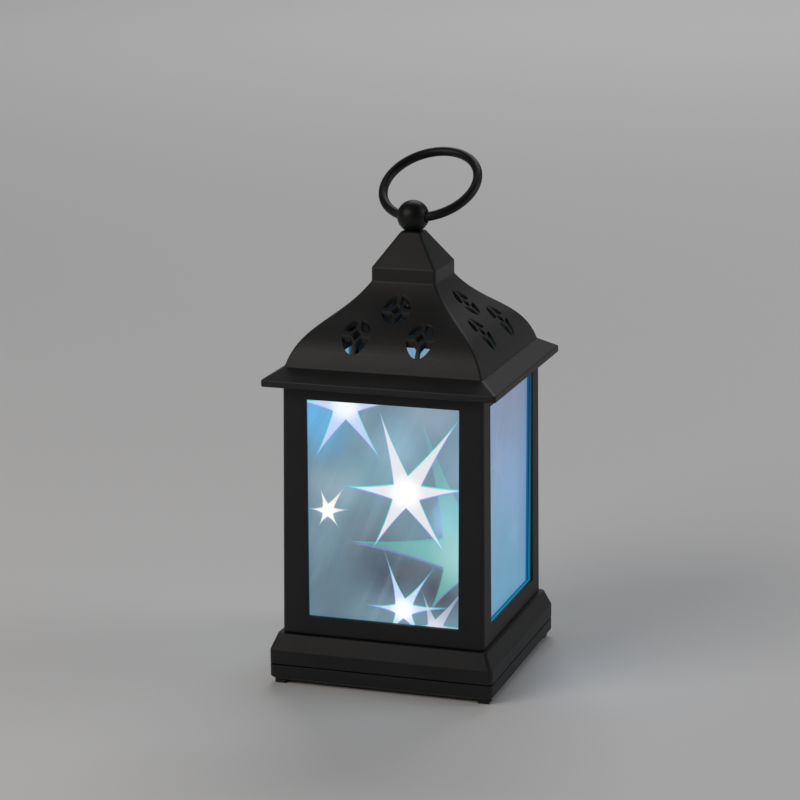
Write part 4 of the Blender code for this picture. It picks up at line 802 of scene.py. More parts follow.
over = BOX_CEILING + BOX_WALL + 2 * LEAD_RADIUS
lead_front = -BOX_HALF_Y - BOX_WALL - 4 * LEAD_RADIUS
lead_back = BOX_HALF_Y - STRIP
pad_x = board_high.x - 2 * LEAD_RADIUS
pad_y = board_high.y - 2 * LEAD_RADIUS
pad_z = board_high.z + CLEARANCE
red_route = [
    (-CELL_PITCH, lead_back, over),
    (-CELL_PITCH - LEAD_SLACK / 2, lead_back - 4 * LEAD_SLACK, over),
    (-CELL_PITCH - LEAD_SLACK, 0, over),
    (-CELL_PITCH, lead_front + 3 * LEAD_SLACK, over),
    (-pad_x + LEAD_SLACK / 2, lead_front, over - LEAD_SLACK / 2),
    (-pad_x, pad_y, pad_z + LEAD_RISE),
    (-pad_x, pad_y, pad_z),
]
black_route = [
    (CELL_PITCH, -BOX_HALF_Y + LEAD_SLACK, over),
    (CELL_PITCH + LEAD_SLACK / 2, lead_front, over - LEAD_SLACK / 2),
    (pad_x, pad_y, pad_z + LEAD_RISE),
    (pad_x, pad_y, pad_z),
]
red = insulation("red_insulation", (0.42, 0.02, 0.018), (0.50, 0.06, 0.05))
black = insulation("black_insulation", (0.014, 0.014, 0.015), (0.03, 0.03, 0.031))
red_lead = round_wire("red_lead", smooth_route(red_route, 10), LEAD_RADIUS)
finish(red_lead, "red_lead", red, "battery_lead_red", angle=60)
black_lead = round_wire("black_lead", smooth_route(black_route, 10), LEAD_RADIUS)
finish(black_lead, "black_lead", black, "battery_lead_black", angle=60)

# The plinth. A hollow black moulding with a short upright band, a sloping shoulder and a flat top
# that the lantern's body stands on. Four long posts inside take the lid's screws.
PLINTH_BOTTOM = LID_TOP + 0.0005
PLINTH_SHOULDER = PLINTH_BOTTOM + 0.00655
PLINTH_TOP = PLINTH_SHOULDER + 0.0076
PLINTH_TOP_HALF = 0.0509
PLINTH_OPENING = 0.036
BODY_SCREWS = corners(0.0418, 0.0418)
LID_SCREW_DEPTH = 0.0093
SCREW_BOSS = 0.0035
levels = [(PLINTH_HALF, PLINTH_BOTTOM), (PLINTH_HALF, PLINTH_SHOULDER), (PLINTH_TOP_HALF, PLINTH_TOP)]
plinth = tower(levels, PLINTH_CORNER)
ceiling = PLINTH_TOP - PLINTH_WALL
inside = PLINTH_HALF - PLINTH_WALL
carve(plinth, tower([(inside, PLINTH_BOTTOM - CLEARANCE), (inside, PLINTH_SHOULDER),
                     (PLINTH_TOP_HALF - PLINTH_WALL * 0.6, ceiling)], PLINTH_CORNER / 2))
weld(plinth, *uprights(SCREW_BOSS, LID_SCREWS, LID_TOP + CLEARANCE, ceiling + PLINTH_WALL / 2))
cuts = [slab(PLINTH_OPENING, PLINTH_OPENING, ceiling - CLEARANCE, PLINTH_TOP + CLEARANCE)]
cuts += uprights(SCREW_HOLE, BODY_SCREWS, ceiling - CLEARANCE, PLINTH_TOP + CLEARANCE, 24)
cuts += uprights(SCREW_HOLE, LID_SCREWS, LID_TOP, seat + LID_SCREW_DEPTH, 24)
carve(plinth, *cuts)
soften(plinth, 0.0003, 3, 20)
finish(plinth, "plinth", black_plastic, "plinth_shell", angle=18)

# The chamber floor. A thin black plate that closes the light chamber, with a socket for the post
# and a hole for the string. The body's screws clamp it.
BODY_BOTTOM = PLINTH_TOP + CLEARANCE
BODY_INSIDE = 0.0462
FLOOR_TOP = BODY_BOTTOM + 0.0015
POST_RADIUS = 0.0035
POST_SOCKET_RADIUS = POST_RADIUS + CLEARANCE + 0.0018
POST_SOCKET_RISE = 0.006
STRING_HOLE = (0.010, -0.0236)
STRING_HOLE_RADIUS = 0.0023
plate = block((-BODY_INSIDE + CLEARANCE, -BODY_INSIDE + CLEARANCE, BODY_BOTTOM),
              (BODY_INSIDE - CLEARANCE, BODY_INSIDE - CLEARANCE, FLOOR_TOP))
weld(plate, rod(POST_SOCKET_RADIUS, BODY_BOTTOM + CLEARANCE, FLOOR_TOP + POST_SOCKET_RISE))
holes = uprights(SCREW_HOLE, BODY_SCREWS, PLINTH_TOP, FLOOR_TOP + CLEARANCE, 24)
holes += uprights(STRING_HOLE_RADIUS, [STRING_HOLE], PLINTH_TOP, FLOOR_TOP + CLEARANCE, 32)
carve(plate, *holes, rod(POST_RADIUS + CLEARANCE, FLOOR_TOP, FLOOR_TOP + 2 * POST_SOCKET_RISE))
soften(plate, 0.00025)
finish(plate, "chamber_plate", black_plastic, "chamber_floor")

# The post. A clear acrylic rod, round at its top, that stands in the chamber floor's socket and
# carries the light string.
POST_HEIGHT = 0.105
clear_acrylic = clouded_coat(
    "clear_post", 120.0, 3.0, (0.86, 0.91, 0.93), (0.94, 0.97, 0.98), (0.06, 0.16),
    Transmission_Weight=0.9, IOR=1.49,
)[0]
post_end = FLOOR_TOP + CLEARANCE + POST_HEIGHT
post = rod(POST_RADIUS, FLOOR_TOP + CLEARANCE, post_end, 48)
round_edges(POST_RADIUS * 0.7, 8, lambda a, b: min(a.z, b.z) > post_end - 0.001)
finish(post, "clear_rod", clear_acrylic, "led_post", angle=60)

# The light string. Two fine copper wires in clear sheaths, twisted together, led up from the board
# and looped round the post. Each of its ten lights is a chip in a drop of clear epoxy.
STRING_RADIUS = 0.0006
TWIST_PITCH = 0.006
BEAD_RADIUS = 0.0023
BEAD_HALF = 0.0025
BEAD_STRAIGHT = 0.0032
STRING_PAD = (0.0075, SWITCH_Y + 0.0022)
# The string's route above the chamber floor, True where a light sits on it
STRING_ROUTE = [
    (0.0130, -0.0215, 0.0030, False),
    (0.0185, -0.0190, 0.0060, True),
    (0.0090, -0.0125, 0.0068, False),
    (-0.0009, -0.0140, 0.0060, True),
    (-0.0130, -0.0085, 0.0110, False),
    (-0.0190, 0.0060, 0.0190, True),
    (-0.0100, 0.0170, 0.0270, False),
    (0.0060, 0.0200, 0.0350, True),
    (0.0200, 0.0100, 0.0420, False),
    (0.0250, -0.0060, 0.0490, True),
    (0.0140, -0.0150, 0.0560, False),
    (-0.0021, -0.0080, 0.0590, True),
    (-0.0190, -0.0150, 0.0580, False),
    (-0.0330, -0.0245, 0.0540, True),
    (-0.0280, 0.0010, 0.0640, False),
    (-0.0160, 0.0180, 0.0720, True),
    (0.0040, 0.0220, 0.0780, False),
    (0.0220, 0.0160, 0.0840, True),
    (0.0210, -0.0050, 0.0890, False),
    (0.0000, -0.0170, 0.0940, False),
    (-0.0290, -0.0140, 0.0980, True),
    (-0.0150, -0.0020, 0.1020, False),
]

box_top = BOX_CEILING + BOX_WALL
start_x, start_y = STRING_PAD
hole_x, hole_y = STRING_HOLE
route = [
    (start_x, start_y, pad_z),
    (start_x, start_y, (board_high.z + box_top) / 2),
    ((start_x + hole_x) / 2, (start_y + hole_y) / 2 - 2 * STRING_RADIUS, box_top + 6 * STRING_RADIUS),
    (hole_x, hole_y, BODY_BOTTOM),
]
post_side = -POST_RADIUS - STRING_RADIUS - CLEARANCE
post_top = Vector((post_side, 2 * STRING_RADIUS, FLOOR_TOP + POST_HEIGHT - POST_RADIUS))
looped = [Vector((x, y, FLOOR_TOP + z)) for x, y, z, _ in STRING_ROUTE]
lights = []
befores, afters = [Vector(route[-1]), *looped], [*looped[1:], post_top]
for before, point, after, (*_, lit) in zip(befores, looped, afters, STRING_ROUTE):
    if not lit:
        route.append(point)
        continue
    along = (after - before).normalized()
    lights.append((point, along))
    route += [point - along * BEAD_STRAIGHT, point, point + along * BEAD_STRAIGHT]
route.append(post_top)
centre_line = smooth_route(route, 12)
strands = []
for strand in (0, 1):
    twisted, travelled, across = [], 0.0, Vector((1, 0, 0))
    for number, point in enumerate(centre_line):
        ahead = centre_line[min(number + 1, len(centre_line) - 1)] - centre_line[max(number - 1, 0)]
        ahead.normalize()
        across = (across - ahead * across.dot(ahead)).normalized()
        if number:
            travelled += (point - centre_line[number - 1]).length
        turn = 2 * math.pi * travelled / TWIST_PITCH + strand * math.pi
        offset = across * math.cos(turn) + ahead.cross(across) * math.sin(turn)
        twisted.append(point + offset * STRING_RADIUS * 0.5)
    strands.append(round_wire("strand", twisted, STRING_RADIUS * 0.5, 1))
join(*strands)
sheath = clouded_coat(
    "string_sheath", 900.0, 2.0, (0.50, 0.24, 0.12), (0.72, 0.46, 0.28), (0.22, 0.4),
    Metallic=0.6, Coat_Weight=0.6,
)[0]
finish(strands[0], "twisted_wire", sheath, "light_string", angle=60)

epoxy, tree, shader, ripple = clouded_coat(
    "light_epoxy", 500.0, 2.0, (0.62, 0.82, 1.0), (0.95, 0.98, 1.0), (0.12, 0.25), Emission_Strength=9.0
)
feed(shader, "Emission Color", blend(tree, ripple, (0.62, 0.82, 1.0), (0.95, 0.98, 1.0)))
bead = (BEAD_RADIUS, BEAD_RADIUS, BEAD_HALF)
bpy.ops.mesh.primitive_uv_sphere_add(segments=28, ring_count=18, radius=1, scale=bead)
drop = settle()
carve(drop, rod(STRING_RADIUS + 0.0002, -2 * BEAD_HALF, 2 * BEAD_HALF, 20))
for number, (point, along) in enumerate(lights, 1):
    turn = along.to_track_quat("Z", "Y").to_matrix().to_4x4()
    light = twin(drop, Matrix.Translation(point) @ turn)
    finish(light, f"light_{number}", epoxy, f"led_{number}", angle=60)
drop_piece(drop)

# The body. One black moulding, slightly narrower at the top, with a tall window in each side. Posts
# in its corners hold the panels in grooves and take the screws of the roof and the plinth.
BODY_FOOT_HALF = 0.0488
BODY_TOP_HALF = 0.04775
BODY_TOP = BODY_BOTTOM + 0.118
BODY_CORNER = 0.0017
WINDOW_HALF = 0.03635
WINDOW_BOTTOM = BODY_BOTTOM + 0.00854
WINDOW_TOP = BODY_TOP - 0.00616
PANEL_FACE = BODY_INSIDE - CLEARANCE
PANEL_BACK = PANEL_FACE - 0.0012
PANEL_HALF = WINDOW_HALF + 0.0044
POST_EDGE = PANEL_HALF + CLEARANCE
CORNER_TOP = BODY_TOP - 0.0036
ROOF_SCREW_PLACE = 0.0352
ROOF_SCREWS = corners(ROOF_SCREW_PLACE, ROOF_SCREW_PLACE)
GUSSET_RADIUS = 0.0078
GUSSET_THICKNESS = 0.0022
GROOVE_LIP = 0.003
BODY_SCREW_DEPTH = 0.0095
body = tower([(BODY_FOOT_HALF, BODY_BOTTOM), (BODY_TOP_HALF, BODY_TOP)], BODY_CORNER)
carve(body, slab(BODY_INSIDE, BODY_INSIDE, BODY_BOTTOM - CLEARANCE, BODY_TOP + CLEARANCE))
lip = PANEL_HALF - GROOVE_LIP
behind = PANEL_BACK - CLEARANCE
wall = BODY_INSIDE + 0.0002
low, high = FLOOR_TOP + CLEARANCE, CORNER_TOP
for x, y in corners(1, 1):
    post = block((x * lip, y * lip, low), (x * behind, y * behind, high))
    weld(post, block((x * POST_EDGE, y * POST_EDGE, low), (x * wall, y * wall, high)))
    weld(body, post)
for gusset in uprights(GUSSET_RADIUS, ROOF_SCREWS, high - GUSSET_THICKNESS, high - CLEARANCE / 2, 4):
    weld(body, gusset)
for half_x, half_y in ((WINDOW_HALF, 0.06), (0.06, WINDOW_HALF)):
    carve(body, slab(half_x, half_y, WINDOW_BOTTOM, WINDOW_TOP))
holes = uprights(SCREW_HOLE, BODY_SCREWS, BODY_BOTTOM - CLEARANCE, ceiling + BODY_SCREW_DEPTH, 24)
carve(body, *holes, *uprights(SCREW_HOLE, ROOF_SCREWS, WINDOW_TOP, BODY_TOP, 24))
soften(body, 0.0003, 3)
finish(body, "body", black_plastic, "body_frame")


# How much of its light the film keeps on the jambs of the front and back windows
JAMB_FRONT_SHARE = 0.22


def lit_jamb():
    """The body's plastic where the film's steep blue light falls on the window's jambs."""
    coat = black_plastic.copy()
    coat.name = "lit_jamb"
    tree = coat.node_tree
    shader = tree.nodes["Principled BSDF"]
    place = object_place(tree)
    spot = put(tree, "ShaderNodeSeparateXYZ", {"Vector": place}).outputs
    x, y = maths(tree, "ABSOLUTE", spot["X"]), maths(tree, "ABSOLUTE", spot["Y"])
    depth = maths(tree, "MAXIMUM", x, y)
    near = ramp(tree, depth, PANEL_FACE + 0.0017, PANEL_FACE + 0.0008)
    front_share = ramp(tree, maths(tree, "SUBTRACT", x, y), -0.002, 0.002, JAMB_FRONT_SHARE, 1.0)
    near = maths(tree, "MULTIPLY", near, front_share)
    lower = ramp(tree, spot["Z"], WINDOW_TOP, WINDOW_BOTTOM)
    tint = blend(tree, lower, (0.006, 0.06, 0.13), (0.0, 0.20, 0.34))
    feed(shader, "Emission Color", blend(tree, near, (0, 0, 0), tint))
    feed(shader, "Emission Strength", 1.0)
    return coat


body.data.materials.append(lit_jamb())
for face in body.data.polygons:
    middle, normal = face.center, face.normal
    side, depth = sorted((abs(middle.x), abs(middle.y)))
    in_wall = depth > PANEL_FACE + 0.0002 and side < WINDOW_HALF + 0.0004
    in_height = WINDOW_BOTTOM - 0.0004 < middle.z < WINDOW_TOP + 0.0004
    faces_in = abs(normal.x if abs(middle.x) > abs(middle.y) else normal.y) < 0.97
    face.material_index = int(in_wall and in_height and faces_in)

# The window panels. Four clear sheets that stand in the body's grooves, each with a star-effect
# film on its inside, which spreads every light of the string into a six-armed star over a blue haze.
FILM_THICKNESS = 0.00012
CREASE_LEAN = -24
ARM_ANGLES = (7, 55, 108, 178, 240, 305)
# An arm stays within this slope and start of a wedge, in millimetres
ARM_WEDGE = (0.70, 0.60)
FRINGE_SHARE = 0.05
STAR_SOFTNESS = 0.20


def vectors(tree, operation, *values, output="Vector"):
    return put(tree, "ShaderNodeVectorMath", enumerate(values), operation=operation).outputs[output]


star_tree, given, out = new_group(
    "six_armed_star",
    [("Point", "NodeSocketVector"), ("Centre", "NodeSocketVector")]
    + [(size, "NodeSocketFloat") for size in ("Width", "Taper", "Cover", "Tip Cover")]
    + [(f"Arm {number + 1}", "NodeSocketFloat") for number in range(6)],
    [(mask, "NodeSocketFloat") for mask in ("Body", "Core", "Green", "Violet", "Glow")],
)


def star_maths(operation, *values):
    return maths(star_tree, operation, *values)


relative = vectors(star_tree, "SUBTRACT", given["Point"], given["Centre"])
fringe = star_maths("MULTIPLY", given["Width"], FRINGE_SHARE)
green = violet = None
for number, angle in enumerate(ARM_ANGLES):
    ux, uz = math.cos(math.radians(angle)), math.sin(math.radians(angle))
    along = vectors(star_tree, "DOT_PRODUCT", relative, (ux, 0, uz), output="Value")
    across = vectors(star_tree, "DOT_PRODUCT", relative, (-uz, 0, ux), output="Value")
    share = star_maths("DIVIDE", along, given[f"Arm {number + 1}"])
    shares = {0: 1.0, 1: share}
    left_over = put(star_tree, "ShaderNodeMath", shares, operation="SUBTRACT", use_clamp=True).outputs[0]
    narrowed = star_maths("POWER", left_over, given["Taper"])
    half_width = star_maths("MULTIPLY", narrowed, given["Width"])
    thinned = star_maths("POWER", star_maths("MAXIMUM", share, 0.0), 3.0)
    half_width = star_maths("MULTIPLY_ADD", thinned, -STAR_SOFTNESS, half_width)
    wedge = star_maths("MULTIPLY_ADD", along, *ARM_WEDGE)
    half_width = star_maths("MINIMUM", half_width, wedge)
    shifted_up = star_maths("ABSOLUTE", star_maths("MULTIPLY_ADD", fringe, -ux, across))
    shifted_down = star_maths("ABSOLUTE", star_maths("MULTIPLY_ADD", fringe, ux, across))
    arm_green = star_maths("SUBTRACT", half_width, shifted_up)
    arm_violet = star_maths("SUBTRACT", half_width, shifted_down)
    green = arm_green if green is None else star_maths("MAXIMUM", green, arm_green)
    violet = arm_violet if violet is None else star_maths("MAXIMUM", violet, arm_violet)
both = star_maths("MINIMUM", green, violet)
body_mask = ramp(star_tree, both, -STAR_SOFTNESS, STAR_SOFTNESS)
green_mask, violet_mask = (
    star_maths("SUBTRACT", ramp(star_tree, side, -STAR_SOFTNESS, STAR_SOFTNESS), body_mask)
    for side in (green, violet)
)
distance = vectors(star_tree, "LENGTH", relative, output="Value")
spread = star_maths("DIVIDE", distance, given["Width"])
core_mask = star_maths("MULTIPLY", ramp(star_tree, spread, 2.0, 0.55), body_mask)
glow = star_maths("ADD", star_maths("MULTIPLY", spread, spread), 1.0)
glow = star_maths("POWER", glow, -2.0)
fading = ramp(star_tree, spread, 0.5, 6.5, given["Cover"], given["Tip Cover"])
body_mask = star_maths("MULTIPLY", body_mask, fading)
masks = {"Body": body_mask, "Core": core_mask, "Green": green_mask, "Violet": violet_mask, "Glow": glow}
for name, socket in masks.items():
    feed(out, name, socket)


def star_film(name, quarter, base, patches, stars, creases):
    """A clear panel's coat: the string's light painted as a glow of the film, a haze with soft lighter and
    darker patches, crease streaks painted lighter and darker, and the stars on top. Places and sizes are
    millimetres across and up the panel, seen from outside."""
    coat, tree, shader = new_coat(name)
    place = object_place(tree)
    mapping = {"Vector": place, "Rotation": (0, 0, -quarter * math.pi / 2), "Scale": (1000, 1000, 1000)}
    turned = put(tree, "ShaderNodeMapping", mapping).outputs["Vector"]
    parts = put(tree, "ShaderNodeSeparateXYZ", {"Vector": turned}).outputs
    point = put(tree, "ShaderNodeCombineXYZ", {"X": parts["X"], "Z": parts["Z"]}).outputs["Vector"]
    waver = noise(tree, point, 0.05, 2.0, output="Color")
    wavered = vectors(tree, "MULTIPLY_ADD", waver, (12, 0, 12), point)
    colour = base
    for x, z, half_x, half_z, tint, strength in patches:
        apart = vectors(tree, "SUBTRACT", wavered, (x + 6, 0, z + 6))
        scaled = vectors(tree, "MULTIPLY", apart, (1 / half_x, 0, 1 / half_z))
        length = vectors(tree, "LENGTH", scaled, output="Value")
        colour = blend(tree, ramp(tree, length, 1.0, 0.0, 0.0, strength), colour, tint)
    lean = {"Vector": point, "Rotation": (0, math.radians(CREASE_LEAN), 0)}
    leaning = put(tree, "ShaderNodeMapping", lean).outputs["Vector"]
    stretch = {"Vector": leaning, "Scale": (0.14, 1, 0.016)}
    stretched = put(tree, "ShaderNodeMapping", stretch).outputs["Vector"]
    streak = noise(tree, stretched, 1.0, 3.0)
    # The creases show as painted light and painted shade, lighter and darker streaks in the glow.
    colour = blend(tree, ramp(tree, streak, 0.50, 0.75, 0, 0.20 * creases), colour, (0.36, 0.54, 0.64))
    colour = blend(tree, ramp(tree, streak, 0.48, 0.28, 0, 0.22 * creases), colour, (0.08, 0.13, 0.18))
    for x, z, width, taper, arms, tint, cover, fringe, halo in stars:
        sizes = {f"Arm {number + 1}": length for number, length in enumerate(arms)}
        covers = {"Cover": cover, "Tip Cover": cover**4}
        given = {"Point": point, "Centre": (x, 0, z), "Width": width, "Taper": taper, **covers, **sizes}
        star = put(tree, "ShaderNodeGroup", given, node_tree=star_tree)
        masks = star.outputs
        colour = blend(tree, maths(tree, "MULTIPLY", masks["Glow"], halo), colour, tint, "ADD")
        colour = blend(tree, masks["Body"], colour, tint)
        for mask, strength, shade in (
            ("Core", cover**4, (1.1, 1.1, 1.1)),
            ("Green", fringe, (0.05, 0.85, 0.75)),
            ("Violet", fringe, (0.30, 0.34, 1.0)),
        ):
            colour = blend(tree, maths(tree, "MULTIPLY", masks[mask], strength), colour, shade)
    fine = noise(tree, point, 3.0, 2.0)
    colour = blend(tree, ramp(tree, fine, 0.3, 0.8, 0, 0.22), colour, (0.16, 0.20, 0.24))
    # Painted shade: where the film runs on behind the frame, its glow is painted a darker, deeper blue.
    beside = maths(tree, "SUBTRACT", maths(tree, "ABSOLUTE", parts["X"]), 1000 * WINDOW_HALF)
    below = maths(tree, "SUBTRACT", 1000 * WINDOW_BOTTOM, parts["Z"])
    hidden = ramp(tree, maths(tree, "MAXIMUM", beside, below), 0.35, 0.80)
    colour = blend(tree, hidden, colour, (0.04, 0.36, 0.54), "MULTIPLY")
    feed(shader, "Emission Color", colour)
    feed(shader, "Emission Strength", 1.16)
    feed(shader, "Base Color", blend(tree, 0.12, (0.01, 0.012, 0.014), colour))
    feed(shader, "Roughness", ramp(tree, fine, 0.3, 0.7, 0.28, 0.40))
    emboss(tree, shader, fine, 0.08, 0.00005)
    feed(shader, "Alpha", 0.965)
    return coat


PEARL = (0.84, 0.84, 0.89)
ICE = (0.80, 0.90, 1.0)
PALE_BLUE = (0.55, 0.72, 1.0)
LILAC = (0.72, 0.72, 0.86)
TEAL = (0.22, 0.66, 0.60)
front_patches = [
    (-34, 128, 28, 28, (0.12, 0.46, 0.82), 0.95),
    (-12, 100, 34, 16, (0.20, 0.42, 0.49), 0.50),
    (6, 116, 22, 22, (0.29, 0.50, 0.64), 0.70),
    (-24, 96, 22, 16, (0.33, 0.43, 0.51), 0.65),
    (-8, 68, 22, 28, (0.14, 0.19, 0.23), 0.80),
    (-27, 42, 24, 34, (0.105, 0.17, 0.215), 0.85),
    (2, 56, 32, 24, (0.05, 0.075, 0.11), 0.90),
    (14, 58, 12, 8, (0.13, 0.10, 0.10), 0.45),
    (30, 84, 13, 15, (0.33, 0.60, 0.92), 0.75),
    (22, 132, 24, 16, (0.29, 0.38, 0.50), 0.75),
    (36, 104, 14, 30, (0.27, 0.40, 0.56), 0.60),
    (36, 64, 12, 16, (0.16, 0.50, 0.50), 0.60),
    (27, 49, 18, 17, (0.06, 0.07, 0.09), 0.95),
]
front_stars = [
    (38.0, 67.6, 9.8, 1.9, (40, 40, 72, 62, 36, 40), TEAL, 0.62, 0.36, 0.00),
    (-18.6, 133.9, 4.9, 1.8, (25, 40, 40, 26, 33, 33), (0.62, 0.74, 1.0), 0.90, 0.80, 0.30),
    (10.1, 94.8, 5.2, 1.85, (35, 50, 45, 33.5, 36, 39), PEARL, 0.97, 0.90, 0.24),
    (-27.6, 83.5, 2.5, 2.3, (13, 18, 13.5, 11.5, 10.8, 11.4), (1.0, 0.93, 0.86), 0.97, 0.60, 1.00),
    (8.8, 39.2, 4.1, 3.6, (31, 34, 38, 24, 25, 25), (0.62, 0.80, 1.0), 0.94, 1.00, 0.45),
    (23.8, 31.2, 3.4, 3.0, (20, 36, 25, 16, 16, 16), LILAC, 0.74, 0.70, 0.10),
]
right_patches = [
    (10, 138, 70, 60, (0.18, 0.22, 0.33), 0.95),
    (0, 44, 70, 56, (0.10, 0.31, 0.45), 0.85),
    (-36, 64, 18, 30, (0.10, 0.40, 0.48), 0.75),
    (10, 90, 26, 24, (0.20, 0.33, 0.55), 0.50),
    (26, 60, 20, 26, (0.17, 0.29, 0.47), 0.50),
]
right_stars = [
    (-12, 104, 5.0, 2.3, (30, 34, 32, 26, 26, 28), (0.32, 0.40, 0.56), 0.18, 0.02, 0.02),
    (16, 62, 4.0, 2.3, (24, 30, 28, 20, 22, 24), (0.28, 0.48, 0.62), 0.16, 0.02, 0.02),
]
back_patches = [
    (20, 118, 34, 34, (0.10, 0.34, 0.62), 0.80),
    (-20, 96, 26, 26, (0.20, 0.42, 0.50), 0.60),
    (6, 60, 26, 26, (0.10, 0.15, 0.20), 0.70),
    (-26, 44, 20, 22, (0.14, 0.44, 0.46), 0.50),
]
back_stars = [
    (-34.0, 74.0, 9.8, 1.9, (60, 38, 44, 36, 40, 44), TEAL, 0.60, 0.36, 0.00),
    (16.0, 108.0, 4.8, 1.7, (32, 44, 40, 30, 33, 35), PEARL, 0.97, 0.90, 0.24),
    (-14.0, 86.0, 3.0, 2.6, (17, 24, 20, 15, 15, 16), ICE, 0.95, 0.80, 0.50),
    (10.0, 52.0, 3.9, 3.4, (25, 31, 29, 22, 19, 21), PALE_BLUE, 0.94, 1.00, 0.45),
    (-27.0, 124.0, 2.4, 2.2, (11, 16, 13, 10, 10, 11), ICE, 0.95, 0.60, 0.80),
]
left_patches = [
    (-24, 112, 30, 38, (0.11, 0.36, 0.66), 0.85),
    (22, 92, 24, 30, (0.24, 0.32, 0.48), 0.60),
    (0, 58, 24, 22, (0.08, 0.12, 0.17), 0.70),
    (28, 46, 18, 18, (0.15, 0.46, 0.50), 0.50),
]
left_stars = [
    (36.0, 58.0, 9.8, 1.9, (40, 38, 58, 52, 34, 38), TEAL, 0.60, 0.36, 0.00),
    (-9.0, 100.0, 4.8, 1.7, (34, 46, 41, 31, 34, 36), PEARL, 0.97, 0.90, 0.24),
    (22.0, 118.0, 3.2, 2.6, (18, 25, 21, 16, 17, 18), PALE_BLUE, 0.92, 0.80, 0.50),
    (-24.0, 50.0, 3.7, 3.2, (22, 29, 26, 18, 16, 18), ICE, 0.94, 1.00, 0.45),
]
FILM_BASE = (0.16, 0.27, 0.34)
SIDE_BASE = (0.18, 0.31, 0.50)
films = (
    ("front", FILM_BASE, front_patches, front_stars, 0.75),
    ("right", SIDE_BASE, right_patches, right_stars, 0.25),
    ("back", FILM_BASE, back_patches, back_stars, 0.75),
    ("left", FILM_BASE, left_patches, left_stars, 0.75),
)
clear_sheet, tree, shader = new_coat("clear_sheet")
place = object_place(tree)
smear = noise(tree, place, 60.0, 4.0)
feed(shader, "Base Color", blend(tree, smear, (0.02, 0.03, 0.035), (0.05, 0.06, 0.065)))
feed(shader, "Roughness", ramp(tree, smear, 0.35, 0.7, 0.08, 0.22))
feed(shader, "Alpha", 0.07)
panel_low, panel_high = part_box("window_panel_front")
for quarter, (side, *look) in enumerate(films):
    turn = Matrix.Rotation(quarter * math.pi / 2, 4, "Z")
    film = block((panel_low.x, panel_high.y - FILM_THICKNESS, panel_low.z), panel_high)
    film.data.transform(turn)
    coat = star_film(f"star_film_{side}", quarter, *look)
    finish(film, f"film_{side}", coat, slot="star_film_panel")
    sheet = block(panel_low, (panel_high.x, panel_high.y - FILM_THICKNESS - 0.00001, panel_high.z))
    soften(sheet, 0.00015)
    sheet.data.transform(turn)
    finish(sheet, f"clear_panel_{side}", clear_sheet, f"window_panel_{side}", slot="star_film_panel")

# The roof. One black moulding: a brim with a sloping top, a bell pierced by three rosettes a side,
# a collar and a spire. Four posts inside it take the screws that come up through the body.
ROOF_BOTTOM = BODY_TOP + CLEARANCE
BRIM_HALF = 0.0556
BRIM_SHOULDER = ROOF_BOTTOM + 0.003
BELL_BOTTOM = BRIM_SHOULDER + 0.005
BELL_FOOT_HALF = 0.0472
BELL_TOP = BELL_BOTTOM + 0.03575
BELL_FOOT_SLOPE = math.radians(73.5)
BELL_TOP_SLOPE = math.radians(55.3)
BELL_CURVE = 0.01995
BELL_STEPS = 24
COLLAR_HALF = 0.0155
COLLAR_TOP = BELL_TOP + 0.00625
SPIRE_TOP = COLLAR_TOP + 0.0155
SPIRE_TOP_HALF = 0.00476
SPIRE_TOP_WALL = 0.002
ROOF_WALL = 0.0021
ROOF_OPENING = 0.0445
ROOF_CORNER = 0.0012
ROOF_EDGE = 0.0005
BOSS_DROP = 0.0010
ROOF_SCREW_DEPTH = 0.0076
FINIAL_SCREW_HOLE = 0.0017
ROSETTE_RADIUS = 0.0065
ROSETTE_BAR = 0.00095
ROSETTE_PLACES = ((0, -0.0257), (0.0153, -0.0377), (-0.0153, -0.0377))
DIAMOND_INNER = 0.0016 * math.sqrt(2)
DIAMOND_OUTER = 0.0027 * math.sqrt(2)


def bell_line(inset):
    """Half widths and heights up the bell's face, moved inwards by the inset."""
    foot, top = Vector((BELL_FOOT_HALF, BELL_BOTTOM)), Vector((COLLAR_HALF, BELL_TOP))
    low = foot - BELL_CURVE * Vector((math.cos(BELL_FOOT_SLOPE), -math.sin(BELL_FOOT_SLOPE)))
    high = top + BELL_CURVE * Vector((math.cos(BELL_TOP_SLOPE), -math.sin(BELL_TOP_SLOPE)))
    line = []
    for step in range(BELL_STEPS + 1):
        t = step / BELL_STEPS
        s = 1 - t
        spot = s**3 * foot + 3 * s * s * t * low + 3 * s * t * t * high + t**3 * top
        along = (s * s * (low - foot) + 2 * s * t * (high - low) + t * t * (top - high)).normalized()
        line.append(spot + inset * Vector((-along.y, along.x)))
    return [(spot.x, spot.y) for spot in line]


outside = [(BRIM_HALF, ROOF_BOTTOM), (BRIM_HALF, BRIM_SHOULDER), *bell_line(0)]
outside += [(COLLAR_HALF, COLLAR_TOP), (SPIRE_TOP_HALF, SPIRE_TOP)]
roof = tower(outside, ROOF_CORNER)
worn_levels = (ROOF_BOTTOM, BRIM_SHOULDER, BELL_TOP, COLLAR_TOP, SPIRE_TOP)
round_edges(
    ROOF_EDGE, 3, lambda a, b: any(abs(a.z - z) + abs(b.z - z) < CLEARANCE for z in worn_levels), clamp=True
)
spire_lean = (COLLAR_HALF - SPIRE_TOP_HALF) / (SPIRE_TOP - COLLAR_TOP)
inner = [spot for spot in bell_line(ROOF_WALL) if spot[0] < ROOF_OPENING]
collar_inside = COLLAR_HALF - ROOF_WALL
spire_ceiling = SPIRE_TOP - SPIRE_TOP_WALL
tip_half = SPIRE_TOP_HALF + SPIRE_TOP_WALL * spire_lean - ROOF_WALL * math.hypot(1, spire_lean)
(first_half, first_height), (last_half, last_height) = inner[0], inner[-1]
